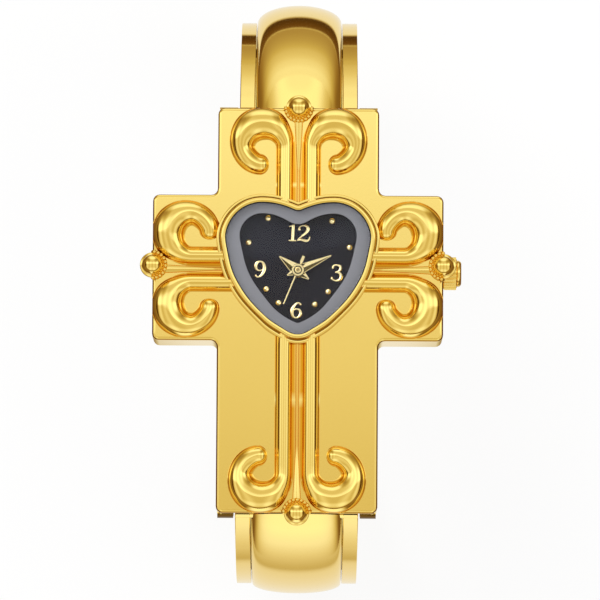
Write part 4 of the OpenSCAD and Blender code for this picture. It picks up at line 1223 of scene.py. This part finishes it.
def make_crown():
    barrel = CROWN_LEN - BOSS_LEN
    wall = CROWN_R - 0.1
    profile = (
        [(0, BORE_DEPTH), (CROWN_BORE, BORE_DEPTH), (CROWN_BORE, 0), (wall - 0.1, 0), (wall, 0.08),
         (wall, barrel - 0.1), (wall - 0.18, barrel), (BOSS_R - 0.1, barrel), (BOSS_R, barrel + 0.08)]
        + arc((BOSS_R - 0.4, CROWN_LEN - 0.4), 0.4, 0, 75, 7) + [(0, CROWN_LEN)]
    )
    crown = make("crown_fluted", lathe(profile, 96, along_x), GOLD, smooth_deg=30)
    values = {
        "Flutes": FLUTES, "Radius": (CROWN_R - FLUTE_R) * MM, "Flute Radius": FLUTE_R * MM,
        "Length": (barrel - 0.16) * MM, "Place": [c * MM for c in along_x((0, 0, barrel / 2))],
        "Material": GOLD,
    }
    apply_pattern(crown, flute_tree(), values, 30)
    finish_piece(crown, "crown", "gold", "crown")


# Bangle arms, drawn for the side of +Y; the lower one is mirrored


def arm_columns(reach, end_deg, section, swell=None):
    """An arm's skin as rings of (x, y, z), each column starting just clear of the case and the knuckle."""
    hinge_y = reach - HINGE_INSET
    start_y = hinge_y + 0.85 * KNUCKLE_R
    middle = (start_y**2 + HINGE_Z**2 - BAND_REACH**2) / (2 * (start_y - BAND_REACH))
    radius = BAND_REACH - middle
    front, back = 48, max(2, round(end_deg / 1.5))
    columns = []
    for h, x in section:
        def point(angle, centre=middle, r=radius):
            a = math.radians(angle)
            grown = h + (swell(r * math.radians(start - angle)) if swell else 0)
            return x, centre + (r + grown) * math.cos(a), (r + grown) * math.sin(a)

        grown_r = radius + h + (swell(0) if swell else 0)
        start = math.degrees(math.acos((hinge_y + NOSE_Y - middle) / grown_r))
        while not swell and math.dist(point(start)[1:], (hinge_y, HINGE_Z)) < KNUCKLE_R + 0.05:
            start -= 0.05
        column = [point(lerp(start, 0, i / front)) for i in range(front + 1)]
        column += [point(-end_deg * i / back, BAND_REACH - BACK_R, BACK_R) for i in range(1, back + 1)]
        columns.append(column)
    return [list(ring) for ring in zip(*columns)]


def mirrored(shape, side):
    return [(x, side * y, z) for x, y, z in shape[0]], shape[1]


def make_dome(name, side, reach, band_w, rise):
    """The domed cover between an arm's rails, with a nose that reaches to the case."""
    half = band_w / 2 - RAIL_W - DOME_GAP
    low = FLOOR_T - RAIL_T + FLOOR_GAP
    turns = [math.radians(lerp(-90, 90, i / 48)) for i in range(49)]

    def over(inset):
        bow = [((rise - inset) * math.cos(a), (half - inset) * math.sin(a)) for a in turns]
        return [(low, inset - half)] + bow + [(low, half - inset)]

    rings = arm_columns(reach, DOME_DEG, over(0) + over(DOME_T)[::-1])
    points, faces = loft(rings, capped=False)
    n = len(rings[0])
    for first in (0, n * (len(rings) - 1)):
        faces += [(first + k, first + k + 1, first + n - 2 - k, first + n - 1 - k) for k in range(n // 2 - 1)]
    skin = mirrored((points, faces), side)
    make_piece(name + "_dome_drawn", skin, name + "_arm", "gold", name + "_dome", smooth_deg=40)


def make_shoulders(name, side, reach, band_w):
    """Long ramps that carry the rails' faces over the knuckle, up to the case."""
    half, edge, depth, sink = RAIL_W / 2 + 0.01, 0.08, 0.5, 0.006

    def height(run):
        return SHOULDER * max(0, 1 - run / SHOULDER_LEN) ** 2 - sink

    shapes = []
    for x in (RAIL_W / 2 - band_w / 2, band_w / 2 - RAIL_W / 2):
        section = [
            (-depth, x - half), (-edge, x - half), (0, x - half + edge), (0, x + half - edge),
            (-edge, x + half), (-depth, x + half),
        ]
        rings = arm_columns(reach, 0.1, section, height)
        last = next(i for i, ring in enumerate(rings) if math.dist(ring[2], rings[0][2]) > SHOULDER_LEN)
        shapes.append(mirrored(loft(rings[:last]), side))
    make_piece(name + "_shoulders", together(*shapes), name + "_arm", "gold", smooth_deg=30)


def spring_tree():
    """A round wire wound along the hinge pin."""
    tree, given, result = new_pattern("hinge_spring", [
        ("Turns", "Float", 8.0), ("Coil Radius", "Float", 0.69 * MM), ("Wire Radius", "Float", WIRE_R * MM),
        ("Length", "Float", 3 * MM), ("Place", "Vector", (0, 0, 0)),
    ])
    coil = node(
        tree, "GeometryNodeCurveSpiral",
        {"Resolution": 40, "Rotations": given["Turns"], "Start Radius": given["Coil Radius"],
         "End Radius": given["Coil Radius"], "Height": given["Length"]},
    )
    wire = node(tree, "GeometryNodeCurvePrimitiveCircle", {"Resolution": 12, "Radius": given["Wire Radius"]})
    solid = node(
        tree, "GeometryNodeCurveToMesh",
        {"Curve": coil.outputs["Curve"], "Profile Curve": wire.outputs["Curve"], "Fill Caps": True},
    )
    lying = laid_across(tree, solid.outputs["Mesh"], given["Place"])
    return hand_out(tree, given, result, lying)


def make_spring(name, tree, side, reach):
    inner = SPRING_HALF - 2 * WIRE_R
    values = {
        "Turns": float(SPRING_TURNS), "Coil Radius": (PIN_R + 0.06 + WIRE_R) * MM, "Wire Radius": WIRE_R * MM,
        "Length": 2 * inner * MM, "Place": Vector((-inner, side * (reach - HINGE_INSET), HINGE_Z)) * MM,
        "Material": STEEL,
    }
    spring = grow(name + "_spring_wound", tree, [(0, 0, 0)], values)
    finish_piece(spring, name + "_arm", "steel", name + "_spring")


def make_bangle():
    for name, side, reach, band_w, rise in ARMS:
        make_dome(name, side, reach, band_w, rise)
        make_shoulders(name, side, reach, band_w)
    tree = spring_tree()
    for name, side, reach, *_ in ARMS:
        make_spring(name, tree, side, reach)
    for name, *_ in ARMS:
        polished(name + "_band", name + "_arm", "gold", 0.1)
        polished(name + "_end_cap", name + "_arm", "gold", 0.08)


# Stage: a pale floor, soft light and the photograph's camera


def floor_and_light(floor_z):
    size, count = 3.0, 96
    floor = bpy.data.meshes.new("floor")
    rim = [(x, y, floor_z) for x, y in arc((0, 0), size, 0, 360, count, 1)]
    floor.from_pydata(rim, [], [tuple(range(count))])
    linked("floor", floor)
    floor.materials.append(floor_material())
    for name, place, power, width in (
        ("key", (-0.35, 0.35, 0.75), 3.2, 0.5), ("fill", (0.5, -0.2, 0.6), 1.4, 0.6),
        ("back", (0.1, 0.7, 0.35), 1.2, 0.5),
    ):
        lamp = bpy.data.lights.new(name, "AREA")
        lamp.energy = power
        lamp.size = width
        light = linked(name, lamp)
        light.location = place
        light.rotation_euler = (-Vector(place)).to_track_quat("-Z", "Y").to_euler()
        light.visible_glossy = False


def mirror_light(tree, kind, brightness):
    """Light that only reflections see, in the metal's tones."""
    tone = node(tree, "ShaderNodeGroup", {"Brightness": brightness}, node_tree=REFLECTED)
    return node(tree, kind, {"Color": tone.outputs["Colour"], "Strength": TONE_TOP}).outputs[0]


def floor_material():
    """Pale paper that keeps the shadow; in reflections it ends about 62 mm out, at a darker table."""
    made = bpy.data.materials.new("studio_floor")
    tree = bare_tree(made)
    place = node(tree, "ShaderNodeTexCoord").outputs["Object"]
    split = node(tree, "ShaderNodeSeparateXYZ", {0: place}).outputs
    flat = xyz(tree, split["X"], split["Y"], 0.0)
    far = node(tree, "ShaderNodeVectorMath", {0: flat}, operation="LENGTH").outputs["Value"]
    ramp_length = 0.5
    share = maths(tree, "MULTIPLY", far, 1 / ramp_length)
    behind = grey_ramp(tree, share, [
        (0.0, 0.86), (0.1235, 0.92), (0.127, 0.05), (0.14, 0.07), (0.16, 0.11), (0.164, 0.16), (0.166, 1.0),
        (0.170, 0.4), (0.19, 0.42), (0.235, 0.5), (0.335, 0.73), (0.55, 0.94), (1.0, 1.08),
    ], soft=False)
    ahead = grey_ramp(tree, share, [
        (0.0, 0.88), (0.08, 0.9), (0.108, 0.86), (0.1125, 0.58), (0.117, 0.62), (0.141, 0.87), (0.1625, 1.09),
        (0.2, 1.25), (1.0, 1.3),
    ], soft=False)
    seen = grey_ramp(tree, share, [(0.0, 0.55), (0.04, 0.35), (0.075, 0.14), (0.25, 0.2), (1.0, 0.3)])
    turn = maths(tree, "DIVIDE", split["Y"], far)
    near = rising(tree, share, 0.13, 0.11)
    for ground, wide, narrow in ((behind, (0.25, 0.7), (0.7, 0.99)), (ahead, (-0.25, -0.7), (-0.88, -0.995))):
        low, high = [blend(tree, near, narrow[k], wide[k]) for k in (0, 1)]
        seen = blend(tree, rising(tree, turn, low, high), seen, ground)
    mirror = mirror_light(tree, "ShaderNodeEmission", seen)
    paper = node(tree, "ShaderNodeBsdfDiffuse", {"Color": (0.86, 0.86, 0.86, 1)}).outputs[0]
    white = node(tree, "ShaderNodeEmission", {"Color": (1, 1, 1, 1), "Strength": 1.0}).outputs[0]
    shown = mixed_by_ray(tree, paper, (0.85, white))
    camera, glossy = ray_kinds(tree)
    show(tree, mixed_by_ray(tree, paper, (camera, shown), (glossy, mirror)))
    return made


def studio_sky():
    """White for the camera; in reflections a bright panel overhead, dim walls and a dark horizon."""
    world = bpy.data.worlds.new("studio")
    bpy.context.scene.world = world
    tree = bare_tree(world)
    place = node(tree, "ShaderNodeTexCoord").outputs["Generated"]
    split = node(tree, "ShaderNodeSeparateXYZ", {0: place}).outputs
    up_y = node(tree, "ShaderNodeMapRange", {0: split["Y"], 1: -1.0, 2: 1.0}).outputs[0]
    along = grey_ramp(tree, up_y, [
        (0.0, 0.85), (0.1, 0.95), (0.25, 0.7), (0.52, 0.7), (0.5315, 0.74), (0.537, 0.86), (0.546, 0.88),
        (0.5555, 1.07), (0.563, 1.2), (0.6, 1.2), (0.75, 0.78), (0.88, 0.8), (0.95, 1.3), (0.985, 1.32),
        (1.0, 1.15),
    ])
    wide = maths(tree, "ABSOLUTE", split["X"])
    sides = grey_ramp(tree, wide, [
        (0.0, 1.0), (0.04, 1.0), (0.3, 1.25), (0.6, 0.98), (0.8, 1.4), (0.9, 1.2), (0.96, 0.35), (1.0, 0.25),
    ])
    behind = grey_ramp(tree, wide, [(0.0, 1.0), (0.25, 0.95), (0.5, 0.58), (0.6, 0.47), (1.0, 0.35)])
    high = grey_ramp(tree, split["Z"], [(0.0, 0.2), (0.14, 0.3), (0.3, 0.9), (0.4, 1.0), (1.0, 1.0)])
    to_back = rising(tree, split["Y"], 0.3, 0.75)
    level = blend(tree, to_back, high, 1.0)
    shaded = maths(tree, "MULTIPLY", along, blend(tree, to_back, sides, behind))
    mirror = mirror_light(tree, "ShaderNodeBackground", maths(tree, "MULTIPLY", shaded, level))
    soft, white = [
        node(tree, "ShaderNodeBackground", {"Color": (1, 1, 1, 1), "Strength": strength}).outputs[0]
        for strength in (0.72, 1.0)
    ]
    camera, glossy = ray_kinds(tree)
    show(tree, mixed_by_ray(tree, soft, (glossy, mirror), (camera, white)), "World")


def set_camera():
    """The photograph's view: from 6 o'clock's side of straight above, about 675 mm away."""
    azimuth, elevation, roll = math.radians(0.67), math.radians(84.69), math.radians(-0.33)
    target = Vector((0.241, -2.129, FACE))
    distance = 675.4
    flat = math.cos(elevation)
    away = Vector((math.sin(azimuth) * flat, -math.cos(azimuth) * flat, math.sin(elevation)))
    right = (-away).cross(Vector((0, 0, 1))).normalized()
    up = right.cross(-away)
    right, up = (
        math.cos(roll) * right + math.sin(roll) * up,
        -math.sin(roll) * right + math.cos(roll) * up,
    )
    data = bpy.data.cameras.new("camera")
    data.lens = 378.0
    data.sensor_width = 36.0
    data.clip_start = 0.05
    data.clip_end = 20
    camera = linked("camera", data)
    place = Matrix.Translation((target + away * distance) * MM)
    camera.matrix_world = place @ Matrix((right, up, away)).transposed().to_4x4()
    bpy.context.scene.camera = camera


dress_cad_nodes()
make_case()
make_scrolls()
make_studs()
make_collars()
make_bezel()
make_dial_parts()
make_numerals()
make_dots()
make_hands()
make_crown()
make_bangle()
floor_and_light(cad_box[0][2])
studio_sky()
set_camera()
bpy.context.scene.view_settings.view_transform = "Standard"
